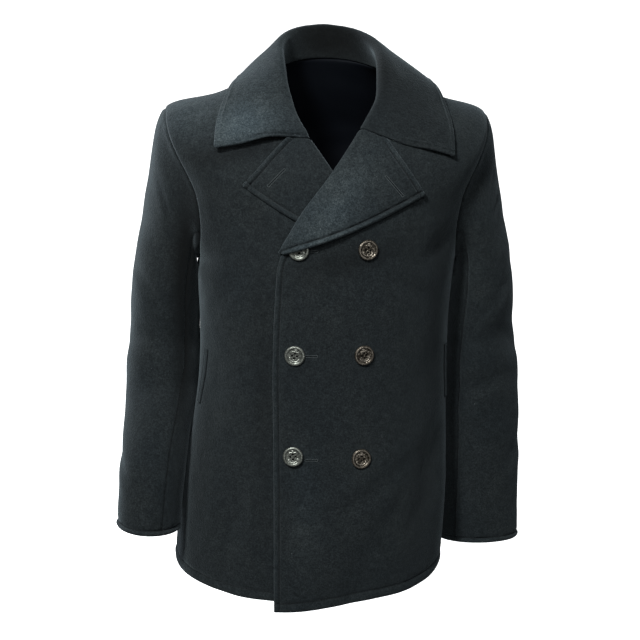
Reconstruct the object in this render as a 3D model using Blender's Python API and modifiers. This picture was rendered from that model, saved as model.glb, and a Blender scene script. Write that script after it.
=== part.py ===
"""A double-breasted pea coat, buttoned and filled out with no wearer.

Units are metres. +Z is up, the front faces -Y and the wearer's left is +X. The origin is the
middle of the neck's base, level with the top of the shoulder seams. Every cloth piece is an open
sheet of points, worked out from short tables, that Solidify makes a wall.
"""

import math
from collections import namedtuple

import bmesh
import bpy
import numpy as np
from mathutils import Matrix, Vector

# Cloth and seams
CLOTH = 0.003  # one layer of heavy wool with its lining
DOUBLE = 0.0040  # collar and lapels, turned cloth on cloth
WELT = 0.0016
SEAM = 0.0004  # gap at a seam between two pieces

# The body of the coat, as rings from the hem up. "up" is the way along the side from the hem.
# front_x and side_x move a ring sideways at its front and at its sides and back, and rise tilts
# its front up towards the wearer's left.
Ring = namedtuple(
    "Ring", "up half_width front back z_side z_front z_back square side_x front_x rise"
)
BODY = (
    Ring(0.000, 0.205, 0.163, 0.140, -0.738, -0.762, -0.745, 2.35, -0.030, -0.020, 0.00),
    Ring(0.120, 0.202, 0.163, 0.141, -0.618, -0.630, -0.620, 2.30, -0.020, -0.018, 0.00),
    Ring(0.310, 0.187, 0.158, 0.122, -0.428, -0.432, -0.428, 2.25, -0.005, -0.014, 0.00),
    Ring(0.465, 0.194, 0.161, 0.130, -0.275, -0.288, -0.270, 2.25, -0.003, -0.008, 0.00),
    Ring(0.580, 0.215, 0.155, 0.137, -0.163, -0.212, -0.165, 2.30, -0.002, -0.005, 0.00),
    Ring(0.690, 0.237, 0.143, 0.124, -0.055, -0.152, -0.090, 2.30, -0.001, -0.002, 0.02),
    Ring(0.765, 0.164, 0.136, 0.099, -0.032, -0.124, -0.036, 2.20, 0.004, 0.000, 0.14),
    Ring(0.840, 0.087, 0.128, 0.076, 0.000, -0.0975, 0.020, 2.10, 0.007, 0.001, 0.28),
)
FRONT_BLEND = 1.5  # how quickly a ring takes on its front's values, as a power of the cosine
TILT = 0.018  # the wearer's left shoulder hangs lower by this much a metre
TILT_FROM = 0.30  # the tilt fades in from here up
TILT_FULL = 0.65
HEM_DROOP = 0.0145  # the left front's corner sags
HEM_DROOP_REACH = 0.16
UP_TIP = BODY[5].up
UP_NECK = BODY[7].up

# Armhole: an oval on the body, from the armpit to the shoulder's tip
ARMHOLE_MIDDLE = 0.5775
ARMHOLE_HALF = UP_TIP - ARMHOLE_MIDDLE
ARMHOLE_FRONT = math.radians(28)  # how far it reaches round the front
ARMHOLE_BACK = math.radians(25)

# Front edges and roll lines, as the place x where a front ends at each height z
Edge = namedtuple("Edge", "z x")
OVER_EDGE = (  # the left front, which laps over
    Edge(-0.800, -0.0940),
    Edge(-0.540, -0.0924),
    Edge(-0.375, -0.0911),
    Edge(-0.295, -0.0874),
    Edge(-0.263, -0.0843),
    Edge(-0.246, -0.0786),
    Edge(-0.223, -0.0645),
    Edge(-0.200, -0.0510),
    Edge(-0.141, -0.0050),
    Edge(-0.077, 0.0405),
    Edge(-0.040, 0.0680),
)
UNDER_EDGE = (  # the right front, hidden below it
    Edge(-0.790, 0.052),
    Edge(-0.540, 0.054),
    Edge(-0.393, 0.056),
    Edge(-0.300, 0.056),
    Edge(-0.235, 0.046),
    Edge(-0.180, 0.018),
    Edge(-0.143, -0.007),
    Edge(-0.088, -0.043),
    Edge(-0.040, -0.078),
)
LAP_LIFT = 0.0046  # the left front lies this far over the right one
LAP_NEAR = 0.085  # full lift up to this x, none past the next
LAP_FAR = 0.150
LAP_FADE_LOW = -0.150  # and it fades out between these heights, up to the neck
LAP_FADE_HIGH = -0.060
LAPEL_LIFT = 0.0074  # more lift where the right lapel runs in below it
LAPEL_LIFT_AT = (-0.018, -0.185)
LAPEL_LIFT_NEAR = 0.020
LAPEL_LIFT_FAR = 0.095

# Soft hollows (depth > 0) and swellings of the body's cloth, each a long oval on the front view
Fold = namedtuple("Fold", "x z length width turn depth")
FOLDS = (
    Fold(-0.110, -0.225, 0.070, 0.022, -40, 0.0035),
    Fold(-0.190, -0.270, 0.050, 0.030, 20, 0.0045),
    Fold(-0.150, -0.640, 0.140, 0.040, 80, 0.0050),
    Fold(0.080, -0.640, 0.150, 0.034, 62, 0.0050),
    Fold(0.150, -0.560, 0.120, 0.030, 75, 0.0045),
    Fold(0.150, -0.240, 0.080, 0.030, 55, 0.0030),
)

FOLDS_TO = -0.2  # they reach round the sides up to this cosine

# Sleeves: each row is a ring from its outermost to its innermost point, counted outwards from
# the middle of the coat, with half its depth from front to back
Cuff = namedtuple("Cuff", "along outer_x outer_y outer_z inner_x inner_y inner_z half_depth")
RIGHT_SLEEVE = (
    Cuff(0.20, 0.266, 0.020, -0.165, 0.1972, 0.028, -0.297, 0.080),
    Cuff(0.34, 0.285, 0.032, -0.262, 0.1935, 0.034, -0.337, 0.076),
    Cuff(0.57, 0.3025, 0.030, -0.425, 0.1943, 0.036, -0.438, 0.068),
    Cuff(0.78, 0.3122, -0.034, -0.553, 0.2165, -0.040, -0.559, 0.060),
    Cuff(1.00, 0.3205, -0.060, -0.664, 0.2300, -0.070, -0.671, 0.052),
)
LEFT_SLEEVE = (
    Cuff(0.20, 0.264, 0.014, -0.168, 0.1990, 0.022, -0.299, 0.080),
    Cuff(0.34, 0.282, 0.014, -0.264, 0.1920, 0.022, -0.339, 0.076),
    Cuff(0.57, 0.296, 0.006, -0.430, 0.1855, 0.030, -0.445, 0.066),
    Cuff(0.78, 0.302, -0.002, -0.575, 0.1865, 0.030, -0.580, 0.052),
    Cuff(1.00, 0.3005, -0.014, -0.722, 0.1850, 0.026, -0.730, 0.041),
)
CAP_HANDLE = 0.085  # how strongly a sleeve leaves the armhole in the body's own direction
UNDERARM_HANDLE = 0.030
UNDERARM_TILT = math.radians(55)  # and how steeply it turns away from the body below
SLEEVE_SEAM = 120  # degrees round from the sleeve's top to its two seams
SLEEVE_TRIM = 0.75  # what each piece stops short of a seam, in degrees, and more near the armhole
CAP_TRIM = 1.0
CAP_TRIM_TO = 0.5
FOLDS_BELOW = (0.72, 0.86)  # no folds nearer the armhole, as parts of the way up from the cuff
SleeveFold = namedtuple("SleeveFold", "round along width_round width_along depth")
SLEEVE_FOLDS = (
    SleeveFold(60, 0.50, 70, 0.035, 0.0045),
    SleeveFold(95, 0.62, 60, 0.030, 0.0040),
    SleeveFold(20, 0.28, 60, 0.040, 0.0030),
    SleeveFold(250, 0.55, 60, 0.035, 0.0035),
)

# Lapels in the front view, from the break up: roll line and lower edge, then tip, notch, gorge
Lapel = namedtuple("Lapel", "roll_low edge_low tip notch gorge bow lift_low lift_high")
LEFT_LAPEL = Lapel(
    roll_low=(-0.0786, -0.2460),
    edge_low=(-0.0725, -0.2465),
    tip=(0.1244, -0.1680),
    notch=(0.0734, -0.0915),
    gorge=(0.0410, -0.0785),
    bow=0.007,
    lift_low=0.0096,
    lift_high=0.0045,
)
RIGHT_LAPEL = Lapel(
    roll_low=(0.0080, -0.1640),
    edge_low=(-0.0330, -0.2160),
    tip=(-0.1333, -0.1520),
    notch=(-0.0696, -0.0893),
    gorge=(-0.0435, -0.0905),
    bow=0.003,
    lift_low=0.0054,
    lift_high=0.0049,
)
LAPEL_FULL = 0.14  # a lapel keeps its low lift this far up, and its high one from the next
LAPEL_FLAT = 0.50
CURL_START = -0.0044  # a lapel's fold starts this far past the front's edge
FOLD_CLEAR = 0.001  # its flat part starts this far from the fold
FOLD_MOST = 0.6  # and no further across than this share of its width
FOLD_TURNS = (180, 150, 120, 95)  # degrees of the fold, from the front's edge to its top

# Collar, half of it from the middle of the back to the front end: the seam's place round the
# neck, the top of the roll and the leaf's edge, counted outwards, with the leaf's swelling
Collar = namedtuple("Collar", "along seam roll_x roll_y roll_z edge_x edge_y edge_z swell")
COLLAR = (
    Collar(0.00, 180, 0.000, 0.079, 0.070, 0.000, 0.130, -0.034, 0.005),
    Collar(0.22, 140, 0.043, 0.065, 0.063, 0.078, 0.110, -0.029, 0.005),
    Collar(0.45, 95, 0.0695, 0.018, 0.042, 0.139, 0.032, -0.012, 0.003),
    Collar(0.60, 75, 0.0695, -0.025, 0.016, 0.153, -0.020, -0.0185, 0.003),
    Collar(0.80, 50, 0.0600, -0.080, -0.035, 0.168, -0.074, -0.062, 0.003),
    Collar(1.00, 23, 0.0425, -0.122, -0.082, 0.172, -0.118, -0.108, 0.002),
)
COLLAR_CENTRE = 0.012  # how far to the left of the middle the back of the leaf lies
ROLL_CENTRE = 0.004
END_RISE = 0.006  # the left end of the collar's roll is higher than the right one
END_DROP = 0.0045  # and its leaf lower
END_SAG = 0.004
END_FROM = 0.5  # the two ends differ from here on
COLLAR_REST = 0.0062  # the leaf lies at least this far over the fronts and the back
REST_FROM = (0.010, 0.035)  # from this far in front of the shoulder's ridge, or behind it
NECK_GAP = 0.0010
HEEL = 0.0050  # the stand's foot runs this far up past the neck's row
GORGE_GAP = 0.0022  # the collar's ends stop this far from the lapels' tops
GORGE_LENGTH = 0.27  # of the collar's roll there, for the whole of "along"
GORGE_FROM = 0.92  # from here on the collar's fold takes the form of the lapel's
ROLL_RADIUS = 0.0062
ROLL_SHARE = 0.45  # and no more than this share of a low stand's height
LEAF_THIRD = 0.33  # the leaf swells at this share of its width and at as much from its edge

# The collar's fold near its ends, over the neck's row: where it starts, how far in it reaches
# and the angle at which its arc starts, -90 being flat
Turn = namedtuple("Turn", "along start reach first")
COLLAR_TURNS = (
    Turn(0.70, 0.0010, 0.0130, -90),
    Turn(0.82, 0.0012, 0.0096, -90),
    Turn(0.90, 0.0034, 0.0074, -90),
    Turn(0.94, 0.0042, 0.0059, -62),
    Turn(0.97, 0.0040, 0.0046, -32),
    Turn(1.00, 0.0034, 0.0034, 0),
)
TURN_FROM = 0.66
TURN_FULL = 0.84

# Pocket welts, as places round the body and up from the hem
WELT_TOP = (math.radians(70), 0.340)
WELT_BOTTOM = (math.radians(75), 0.254)
WELT_WIDTH = 0.014

# Buttons
BUTTON_RADIUS = 0.0146
BUTTON_THICK = 0.0034
BUTTON_HOLE = 0.0011
BUTTON_HOLE_AT = 0.0036
BUTTON_GAP = 0.0005
Spot = namedtuple("Spot", "out up")  # parts of the radius and of the thickness
BUTTON_OUTLINE = (  # from the middle of the face over the rim to the middle of the back
    Spot(0.00, 0.72),
    Spot(0.66, 0.68),
    Spot(0.76, 0.95),
    Spot(0.88, 1.00),
    Spot(1.00, 0.62),
    Spot(0.92, 0.12),
    Spot(0.80, 0.00),
    Spot(0.00, 0.00),
)
BUTTON_MERGE = 0.00001
BUTTON_CREASE = math.radians(35)
BUTTONS_LEFT = ((0.0397, -0.2418), (0.0351, -0.3925), (0.0314, -0.5450))
BUTTONS_RIGHT = ((-0.0559, -0.2409), (-0.0619, -0.3913), (-0.0653, -0.5391))

# Mesh fineness
BODY_COLUMNS = 12
BACK_COLUMNS = 18
LOWER_ROWS = 11
ARMHOLE_ROWS = 12
SHOULDER_ROWS = (0.04, 0.11, 0.24, 0.45, 0.70, 1.0)  # parts of the way, closest at the tip
CAP_ROWS = (0, 0.007, 0.03, 0.065, 0.105, 0.15, 0.20)
SLEEVE_ROWS = 11
SLEEVE_STEP = 15
LAPEL_ROWS = 12
LAPEL_COLUMNS = 6
COLLAR_STATIONS = (0, 0.08, 0.16, 0.24, 0.32, 0.4, 0.48, 0.56, 0.64, 0.71, 0.78, 0.84, 0.89, 0.93)
COLLAR_STATIONS = COLLAR_STATIONS + (0.965, 1)
ROLL_FROM = 2  # the points of a collar's section are counted from its seam
ROLL_TOP = 3
LEAF_FROM = 4
COLLAR_COLUMNS = (0, 1, 1.35, 1.7, 2, 2.5, 3, 3.5, 4, 4.4, 4.8, 5.2, 5.6, 6, 6.5, 7)
WELT_ROWS = 5
BUTTON_SEGMENTS = 20
HOLE_SEGMENTS = 8

STEP = 0.001  # for slopes
NECK_STEP = 0.010  # and for the slope at the neck's row
NAVY = (0.012, 0.017, 0.020, 1)
WOOL_ROUGH = 0.95
PEWTER = (0.10, 0.11, 0.10, 1)
PEWTER_ROUGH = 0.35
PEWTER_METALLIC = 0.6


def smooth(table, column, at):
    """A smooth curve through one column of a table, read at places along the first column."""
    x = np.array([row[0] for row in table])
    y = np.array([getattr(row, column) for row in table])
    slope = np.gradient(y, x)
    at = np.clip(at, x[0], x[-1])
    i = np.clip(np.searchsorted(x, at) - 1, 0, len(x) - 2)
    span = x[i + 1] - x[i]
    f = (at - x[i]) / span
    ends = y[i] * (1 + 2 * f) * (1 - f) ** 2 + y[i + 1] * f * f * (3 - 2 * f)
    return ends + span * (slope[i] * f * (1 - f) ** 2 - slope[i + 1] * f * f * (1 - f))


def fade(x, near, far):
    """1 up to near, 0 from far on."""
    f = np.clip((x - near) / (far - near), 0, 1)
    return 1 - f * f * (3 - 2 * f)


def power(x, square):
    return np.sign(x) * np.abs(x) ** (2 / square)


def between(a, b, f):
    return np.asarray(a) + (np.asarray(b) - np.asarray(a)) * f


def unit(v):
    return v / np.linalg.norm(v, axis=-1, keepdims=True)


def plain_body(round_, up):
    """The body's middle surface without folds: 0 is the front, 90 degrees the wearer's left."""
    c, s = np.cos(round_), np.sin(round_)
    ring = {name: smooth(BODY, name, up) for name in Ring._fields[1:]}
    front = np.clip(c, 0, 1)
    shift = ring["side_x"] + (ring["front_x"] - ring["side_x"]) * front**FRONT_BLEND
    x = shift + ring["half_width"] * power(s, ring["square"])
    depth = np.where(c > 0, ring["front"], ring["back"])
    y = -depth * power(c, ring["square"])
    far_z = np.where(c > 0, ring["z_front"], ring["z_back"])
    z = ring["z_side"] + (far_z - ring["z_side"]) * np.abs(c) ** FRONT_BLEND
    z = z + ring["rise"] * (x - shift) * front**FRONT_BLEND
    z = z - TILT * x * (1 - fade(up, TILT_FROM, TILT_FULL))
    return np.stack(np.broadcast_arrays(x, y, z), -1)


def body_normal(round_, up):
    across = plain_body(round_ + STEP, up) - plain_body(round_ - STEP, up)
    along = plain_body(round_, up + STEP) - plain_body(round_, up - STEP)
    return unit(np.cross(across, along))


def fold_depth(folds, x, z):
    total = 0
    for fold in folds:
        turn = math.radians(fold.turn)
        a = (x - fold.x) * math.cos(turn) + (z - fold.z) * math.sin(turn)
        b = -(x - fold.x) * math.sin(turn) + (z - fold.z) * math.cos(turn)
        off = (2 * b / fold.width) ** 2
        total = total + fold.depth * np.exp(-((2 * a / fold.length) ** 2) - off)
    return total


def body(round_, up, lift=0.0):
    """A point of the body's cloth, moved out by lift."""
    at = plain_body(round_, up)
    facing = np.cos(round_) > FOLDS_TO
    out = lift - np.where(facing, fold_depth(FOLDS, at[..., 0], at[..., 2]), 0)
    return at + body_normal(round_, up) * np.expand_dims(out, -1)


def round_at(x, up, back=False):
    """How far round the front of a ring, or round its back, lies the place x."""
    round_ = np.zeros(np.broadcast(x, up).shape)
    width, square = smooth(BODY, "half_width", up), smooth(BODY, "square", up)
    side_x, front_x = smooth(BODY, "side_x", up), smooth(BODY, "front_x", up)
    for _ in range(8):
        shift = side_x + (front_x - side_x) * np.cos(round_) ** FRONT_BLEND * (not back)
        ratio = np.clip((x - shift) / width, -0.9999, 0.9999)
        round_ = np.arcsin(np.sign(ratio) * np.abs(ratio) ** (square / 2))
    return math.pi - round_ if back else round_


def on_body(x, z, back=False):
    """The place on the body that shows at x, z from straight ahead, or from behind."""
    low, high = np.zeros(np.shape(x)), np.full(np.shape(x), UP_NECK)
    for _ in range(26):
        up = (low + high) / 2
        below = plain_body(round_at(x, up, back), up)[..., 2] < z
        low, high = np.where(below, up, low), np.where(below, high, up)
    return round_at(x, up, back), up


def front_point(x, z, lift):
    round_, up = on_body(x, z)
    return body(round_, up, lift)


def edge_round(edge, up):
    """How far round a front starts, at each ring."""
    round_ = np.zeros(np.shape(up))
    for _ in range(12):
        z = plain_body(round_, up)[..., 2]
        round_ = round_at(smooth(edge, "x", z), up)
    return round_


def over_lift(x, z):
    """How far the left front lies out, over the right front and the right lapel."""
    away = np.hypot(x - LAPEL_LIFT_AT[0], z - LAPEL_LIFT_AT[1])
    lap = LAP_LIFT * fade(x, LAP_NEAR, LAP_FAR) * fade(z, LAP_FADE_LOW, LAP_FADE_HIGH)
    return lap + LAPEL_LIFT * fade(away, LAPEL_LIFT_NEAR, LAPEL_LIFT_FAR)


def over_front(x, z):
    """A point of the left front's cloth and the way that it faces there."""
    reach = BUTTON_RADIUS / 2
    x = x + np.array([0, reach, -reach, 0, 0])
    z = z + np.array([0, 0, 0, reach, -reach])
    at = front_point(x, z, over_lift(x, z))
    return at[0], unit(np.cross(at[1] - at[2], at[3] - at[4]))


def armhole(angle):
    """The armhole's place on the body: 0 at the shoulder's tip, 90 in front, 180 at the armpit."""
    wide = np.where(np.sin(angle) > 0, ARMHOLE_FRONT, ARMHOLE_BACK)
    return math.pi / 2 - wide * np.sin(angle), ARMHOLE_MIDDLE + ARMHOLE_HALF * np.cos(angle)


def body_rows():
    """Heights of the panels' rows, with those at the armhole spaced as its oval is."""
    lower = np.linspace(0, ARMHOLE_MIDDLE - ARMHOLE_HALF, LOWER_ROWS, endpoint=False)
    turn = np.linspace(math.pi, 0, ARMHOLE_ROWS + 1)
    upper = UP_TIP + (UP_NECK - UP_TIP) * np.array(SHOULDER_ROWS)
    return np.concatenate([lower, ARMHOLE_MIDDLE + ARMHOLE_HALF * np.cos(turn), upper])


def armhole_reach(up):
    height = np.clip((up - ARMHOLE_MIDDLE) / ARMHOLE_HALF, -1, 1)
    return np.sqrt(1 - height**2)


def seam_trim(up):
    """How far round a panel stops short of its side and shoulder seams."""
    half_gap = SEAM / 2 * (3 - 2 * fade(up, ARMHOLE_MIDDLE, UP_TIP))
    return (half_gap / smooth(BODY, "back", up)) ** (smooth(BODY, "square", up) / 2)


def front_grid(side, columns, rows):
    """Points of a front, from its edge round to the side seam, armhole and shoulder seam."""
    edge = OVER_EDGE if side > 0 else UNDER_EDGE
    start = edge_round(edge, rows)
    end = side * (math.pi / 2 - seam_trim(rows) - ARMHOLE_FRONT * armhole_reach(rows))
    f = np.linspace(0, 1, columns + 1)[None, :]
    round_ = start[:, None] + (end - start)[:, None] * f
    up = np.broadcast_to(rows[:, None], round_.shape)
    at = plain_body(round_, up)
    if side < 0:
        return body(round_, up)
    grid = body(round_, up, over_lift(at[..., 0], at[..., 2]))
    near_edge = fade(at[..., 0] - at[:, :1, 0], 0, HEM_DROOP_REACH)
    grid[..., 2] -= HEM_DROOP * near_edge * fade(up, 0, HEM_DROOP_REACH)
    return grid


def back_grid(columns, rows):
    half = math.pi / 2 - seam_trim(rows) - ARMHOLE_BACK * armhole_reach(rows)
    f = np.linspace(-1, 1, columns + 1)[None, :]
    round_ = math.pi - half[:, None] * f
    return body(round_, np.broadcast_to(rows[:, None], round_.shape))


def sleeve_point(side, angle, along):
    """A point of a sleeve: angle as round the armhole, along from 0 at the seam to 1."""
    table = LEFT_SLEEVE if side > 0 else RIGHT_SLEEVE
    angle, along = np.broadcast_arrays(angle, along)
    round_, up = armhole(angle)
    start = body(side * round_, up)
    ahead_round, ahead_up = armhole(angle + STEP)
    edge_way = unit(body(side * ahead_round, ahead_up) - start)
    normal = body_normal(side * round_, up)
    into = unit(np.cross(normal, edge_way)) * side
    below = (1 - np.cos(angle)) / 2
    tilt = (UNDERARM_TILT * below**2)[..., None]
    stops = [start + into * (1.5 * SEAM + CLOTH / 2 * np.sin(tilt))]
    leaving = into * np.cos(tilt) + normal * np.sin(tilt)
    for row in table:
        outer = np.array([side * row.outer_x, row.outer_y, row.outer_z])
        inner = np.array([side * row.inner_x, row.inner_y, row.inner_z])
        across = outer - inner
        forward = unit(np.array([across[1], -across[0], 0.0]) * side)
        ring = np.cos(angle)[..., None] * across / 2
        ring = ring + np.sin(angle)[..., None] * forward * row.half_depth
        stops.append((outer + inner) / 2 + ring)
    places = np.array([0.0] + [row.along for row in table])
    handle = between(CAP_HANDLE, UNDERARM_HANDLE, below)
    slopes = [leaving * handle[..., None] / places[1]]
    for i in range(1, len(stops) - 1):
        slopes.append((stops[i + 1] - stops[i - 1]) / (places[i + 1] - places[i - 1]))
    slopes.append((stops[-1] - stops[-2]) / (places[-1] - places[-2]))
    at = np.zeros(angle.shape + (3,))
    for i in range(len(stops) - 1):
        span = places[i + 1] - places[i]
        f = np.expand_dims((along - places[i]) / span, -1)
        ends = stops[i] * (1 + 2 * f) * (1 - f) ** 2 + stops[i + 1] * f * f * (3 - 2 * f)
        bend = span * (slopes[i] * f * (1 - f) ** 2 - slopes[i + 1] * f * f * (1 - f))
        at = np.where((f >= 0) & (f <= 1), ends + bend, at)
    return at


def sleeve_folds(angle, along):
    total = 0
    for fold in SLEEVE_FOLDS:
        turn = np.degrees(np.arccos(np.cos(angle - math.radians(fold.round))))
        off = (along - fold.along) / fold.width_along
        total = total + fold.depth * np.exp(-((turn / fold.width_round) ** 2) - off**2)
    return total


def sleeve_grid(side, first, last, rows):
    trim = (SLEEVE_TRIM + CAP_TRIM * fade(rows, CAP_ROWS[-1], CAP_TRIM_TO))[:, None]
    f = np.linspace(0, 1, round((last - first) / SLEEVE_STEP) + 1)
    angle = np.radians(between(first + trim, last - trim, f))
    along = np.broadcast_to(rows[:, None], angle.shape)
    at = sleeve_point(side, angle, along)
    axis = (sleeve_point(side, angle, along) + sleeve_point(side, angle + math.pi, along)) / 2
    depth = sleeve_folds(angle, along) * fade(1 - along, *FOLDS_BELOW)
    return at + unit(axis - at) * depth[..., None]


def lapel_plan(side, a, b):
    """A lapel in the front view: a goes up the roll line, b from it to the outer edge."""
    shape = LEFT_LAPEL if side > 0 else RIGHT_LAPEL
    edge = OVER_EDGE if side > 0 else UNDER_EDGE
    z = between(shape.roll_low[1], shape.gorge[1], a)
    roll = np.stack([smooth(edge, "x", z), z], -1)
    a, b = a[..., None], b[..., None]
    outer = between(shape.edge_low, shape.tip, a) - shape.bow * np.sin(math.pi * a) * np.array([0, 1])
    notch_at = lapel_notch(shape)
    gorge_part = between(shape.gorge, shape.notch, np.clip(b / notch_at, 0, 1))
    tip_part = between(shape.notch, shape.tip, np.clip((b - notch_at) / (1 - notch_at), 0, 1))
    top = np.where(b < notch_at, gorge_part, tip_part)
    low = between(shape.roll_low, shape.edge_low, b)
    corners = between(low, between(shape.gorge, shape.tip, b), a)
    return between(roll, outer, b) + between(low, top, a) - corners


def lapel_notch(shape):
    """How far along a lapel's top, from the roll line to the tip, its notch is."""
    gorge = math.dist(shape.gorge, shape.notch)
    return gorge / (gorge + math.dist(shape.notch, shape.tip))


def lapel_grid(side, rows, columns):
    """Points of a lapel, from inside its fold over the roll line and out to its edge."""
    shape = LEFT_LAPEL if side > 0 else RIGHT_LAPEL
    notch = lapel_notch(shape)
    near = np.linspace(0, notch, 3)[1:]
    across = np.concatenate([near, np.linspace(notch, 1, columns - 1)[1:]])
    a = np.linspace(0, 1, rows + 1)
    lift = shape.lift_high + (shape.lift_low - shape.lift_high) * fade(a, LAPEL_FULL, LAPEL_FLAT)
    roll = lapel_plan(side, a, 0 * a)
    width = np.linalg.norm(lapel_plan(side, a, 0 * a + 1) - roll, axis=-1)
    skip = np.clip((CURL_START + lift + FOLD_CLEAR) / width, 0, FOLD_MOST) * (1 - a)
    b = skip[:, None] + (1 - skip[:, None]) * across
    plan = lapel_plan(side, a[:, None] + 0 * b, b)
    x, z = plan[..., 0], plan[..., 1]
    flat = front_point(x, z, lift[:, None] + (over_lift(x, z) if side > 0 else 0))
    roll_lift = over_lift(roll[:, 0], roll[:, 1]) if side > 0 else 0 * a
    edge = front_point(roll[:, 0], roll[:, 1], roll_lift)
    normal = unit(front_point(roll[:, 0], roll[:, 1], roll_lift + STEP) - edge)
    outward = flat[:, 0] - edge
    outward = unit(outward - normal * np.sum(outward * normal, -1, keepdims=True))
    fold = []
    for turn in np.radians(FOLD_TURNS):
        along = CURL_START + lift * (1 + math.cos(turn))
        fold.append(edge + outward * along[:, None] + normal * (lift * math.sin(turn))[:, None])
    return np.concatenate([np.stack(fold, 1), flat], 1)


def collar_curve(side, along):
    """The five places that a collar's cross-section runs through, at places along it."""
    seam = np.radians(smooth(COLLAR, "seam", along)) * side
    neck = body(seam, UP_NECK)
    into = unit(neck - body(seam, UP_NECK - NECK_STEP))
    outward = np.array([side, 1, 1])
    roll = np.stack([smooth(COLLAR, f"roll_{axis}", along) for axis in "xyz"], -1) * outward
    edge = np.stack([smooth(COLLAR, f"edge_{axis}", along) for axis in "xyz"], -1) * outward
    roll[..., 0] += ROLL_CENTRE * fade(along, END_FROM, 1.0)
    edge[..., 0] += COLLAR_CENTRE * fade(along, END_FROM, 1.0)
    end = side * (1 - fade(along, END_FROM, 1.0))
    roll[..., 2] += END_RISE * end - TILT * roll[..., 0]
    edge[..., 2] -= END_DROP * end + TILT * edge[..., 0]
    return neck, into, roll, edge, smooth(COLLAR, "swell", along)


def rest_on_body(points, lift):
    """Points moved out, where they are less than lift over the body's front or back."""
    for back in (False, True):
        round_, up = on_body(points[:, 0], points[:, 2], back)
        normal = body_normal(round_, up)
        short = np.clip(np.sum((body(round_, up, lift) - points) * normal, -1), 0, 2 * lift)
        ahead = -points[:, 1] if not back else points[:, 1]
        points = points + normal * (short * (1 - fade(ahead, *REST_FROM)))[:, None]
    return points


def curve_through(points, at):
    """A smooth curve through points, read at places counted in points from the first."""
    points = np.asarray(points)
    gaps = np.sqrt(np.linalg.norm(np.diff(points, axis=0), axis=1))
    knots = np.concatenate([[0], np.cumsum(gaps)])
    slope = np.gradient(points, knots, axis=0)
    i = np.clip(np.floor(at).astype(int), 0, len(points) - 2)
    f = (at - i)[:, None]
    span = gaps[i][:, None]
    line = points[i] * (1 + 2 * f) * (1 - f) ** 2 + points[i + 1] * f * f * (3 - 2 * f)
    return line + span * (slope[i] * f * (1 - f) ** 2 - slope[i + 1] * f * f * (1 - f))


def collar_turn(along, parts):
    """The collar's fold near its ends, at parts of its length: how far in and how far out."""
    start, reach = smooth(COLLAR_TURNS, "start", along), smooth(COLLAR_TURNS, "reach", along)
    first = math.radians(smooth(COLLAR_TURNS, "first", along))
    radius = COLLAR_REST / (1 - math.sin(first))
    straight = max(reach - radius + radius * math.cos(first) - start, 0)
    way = (straight + radius * (math.pi / 2 - first)) * parts
    angle = first + np.clip(way - straight, 0, None) / radius
    inward = np.where(way < straight, start + way, reach - radius + radius * np.cos(angle))
    return inward, radius * (np.sin(angle) - math.sin(first))


def collar_roll(neck, into, normal, roll, edge, at):
    """The collar's stand and the half circle of its roll, up to where the leaf starts."""
    foot = neck + into * NECK_GAP
    heel = neck + into * HEEL + np.array([0, 0, NECK_GAP])
    down = unit(unit(foot - roll) + unit(edge - roll))
    apart = unit(normal - down * np.dot(normal, down))
    radius = min(ROLL_RADIUS, ROLL_SHARE * np.linalg.norm(heel - roll))
    centre = roll + down * radius
    stand = curve_through([foot, heel, centre - apart * radius, roll], np.minimum(at, ROLL_FROM))
    turn = math.pi * (at - ROLL_FROM) / (LEAF_FROM - ROLL_FROM)
    arc = np.outer(-np.cos(turn), apart) - np.outer(np.sin(turn), down)
    return np.where(turn[:, None] < 0, stand, centre + radius * arc)


def collar_section(side, along, at):
    neck, into, roll, edge, swell = collar_curve(side, np.array(along))
    fold = at[at <= LEAF_FROM]
    normal = body_normal(np.radians(smooth(COLLAR, "seam", along)) * side, UP_NECK)
    rolled = collar_roll(neck, into, normal, roll, edge, fold)
    inward, outward = collar_turn(along, fold / LEAF_FROM)
    turned = neck + np.outer(inward, into) + np.outer(outward, normal)
    turned = between(rolled, turned, 1 - fade(along, TURN_FROM, TURN_FULL))
    top, below = lapel_grid(side, LAPEL_ROWS, LAPEL_COLUMNS)[:-3:-1]
    end = top + unit(top - below) * (GORGE_GAP + (1 - along) * GORGE_LENGTH)
    end = curve_through(end[: LEAF_FROM + 1], fold)
    turned = between(turned, end, 1 - fade(along, GORGE_FROM, 1.0))
    over = turned[-1]
    face = unit(np.cross(edge - over, np.cross(over - neck, edge - over)))
    sag = END_SAG * side * (1 - fade(along, END_FROM, 1.0)) * np.array([0, 0, 1])
    third = between(over, edge, LEAF_THIRD) + face * swell - sag
    two_thirds = between(over, edge, 1 - LEAF_THIRD) + face * swell
    before = turned[fold == ROLL_TOP][0]
    leaf = curve_through([before, over, third, two_thirds, edge], at[at > LEAF_FROM] - ROLL_TOP)
    return np.concatenate([turned, rest_on_body(leaf, COLLAR_REST)])


def collar_grid(stations, columns):
    at = np.array(columns)
    right = [collar_section(-1, along, at) for along in stations[:0:-1]]
    return np.array(right + [collar_section(1, along, at) for along in stations])


def finish(name, colour, rough, metallic):
    material = bpy.data.materials.new(name)
    material.use_nodes = True
    shader = material.node_tree.nodes["Principled BSDF"]
    shader.inputs["Base Color"].default_value = colour
    shader.inputs["Roughness"].default_value = rough
    shader.inputs["Metallic"].default_value = metallic
    return material


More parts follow.
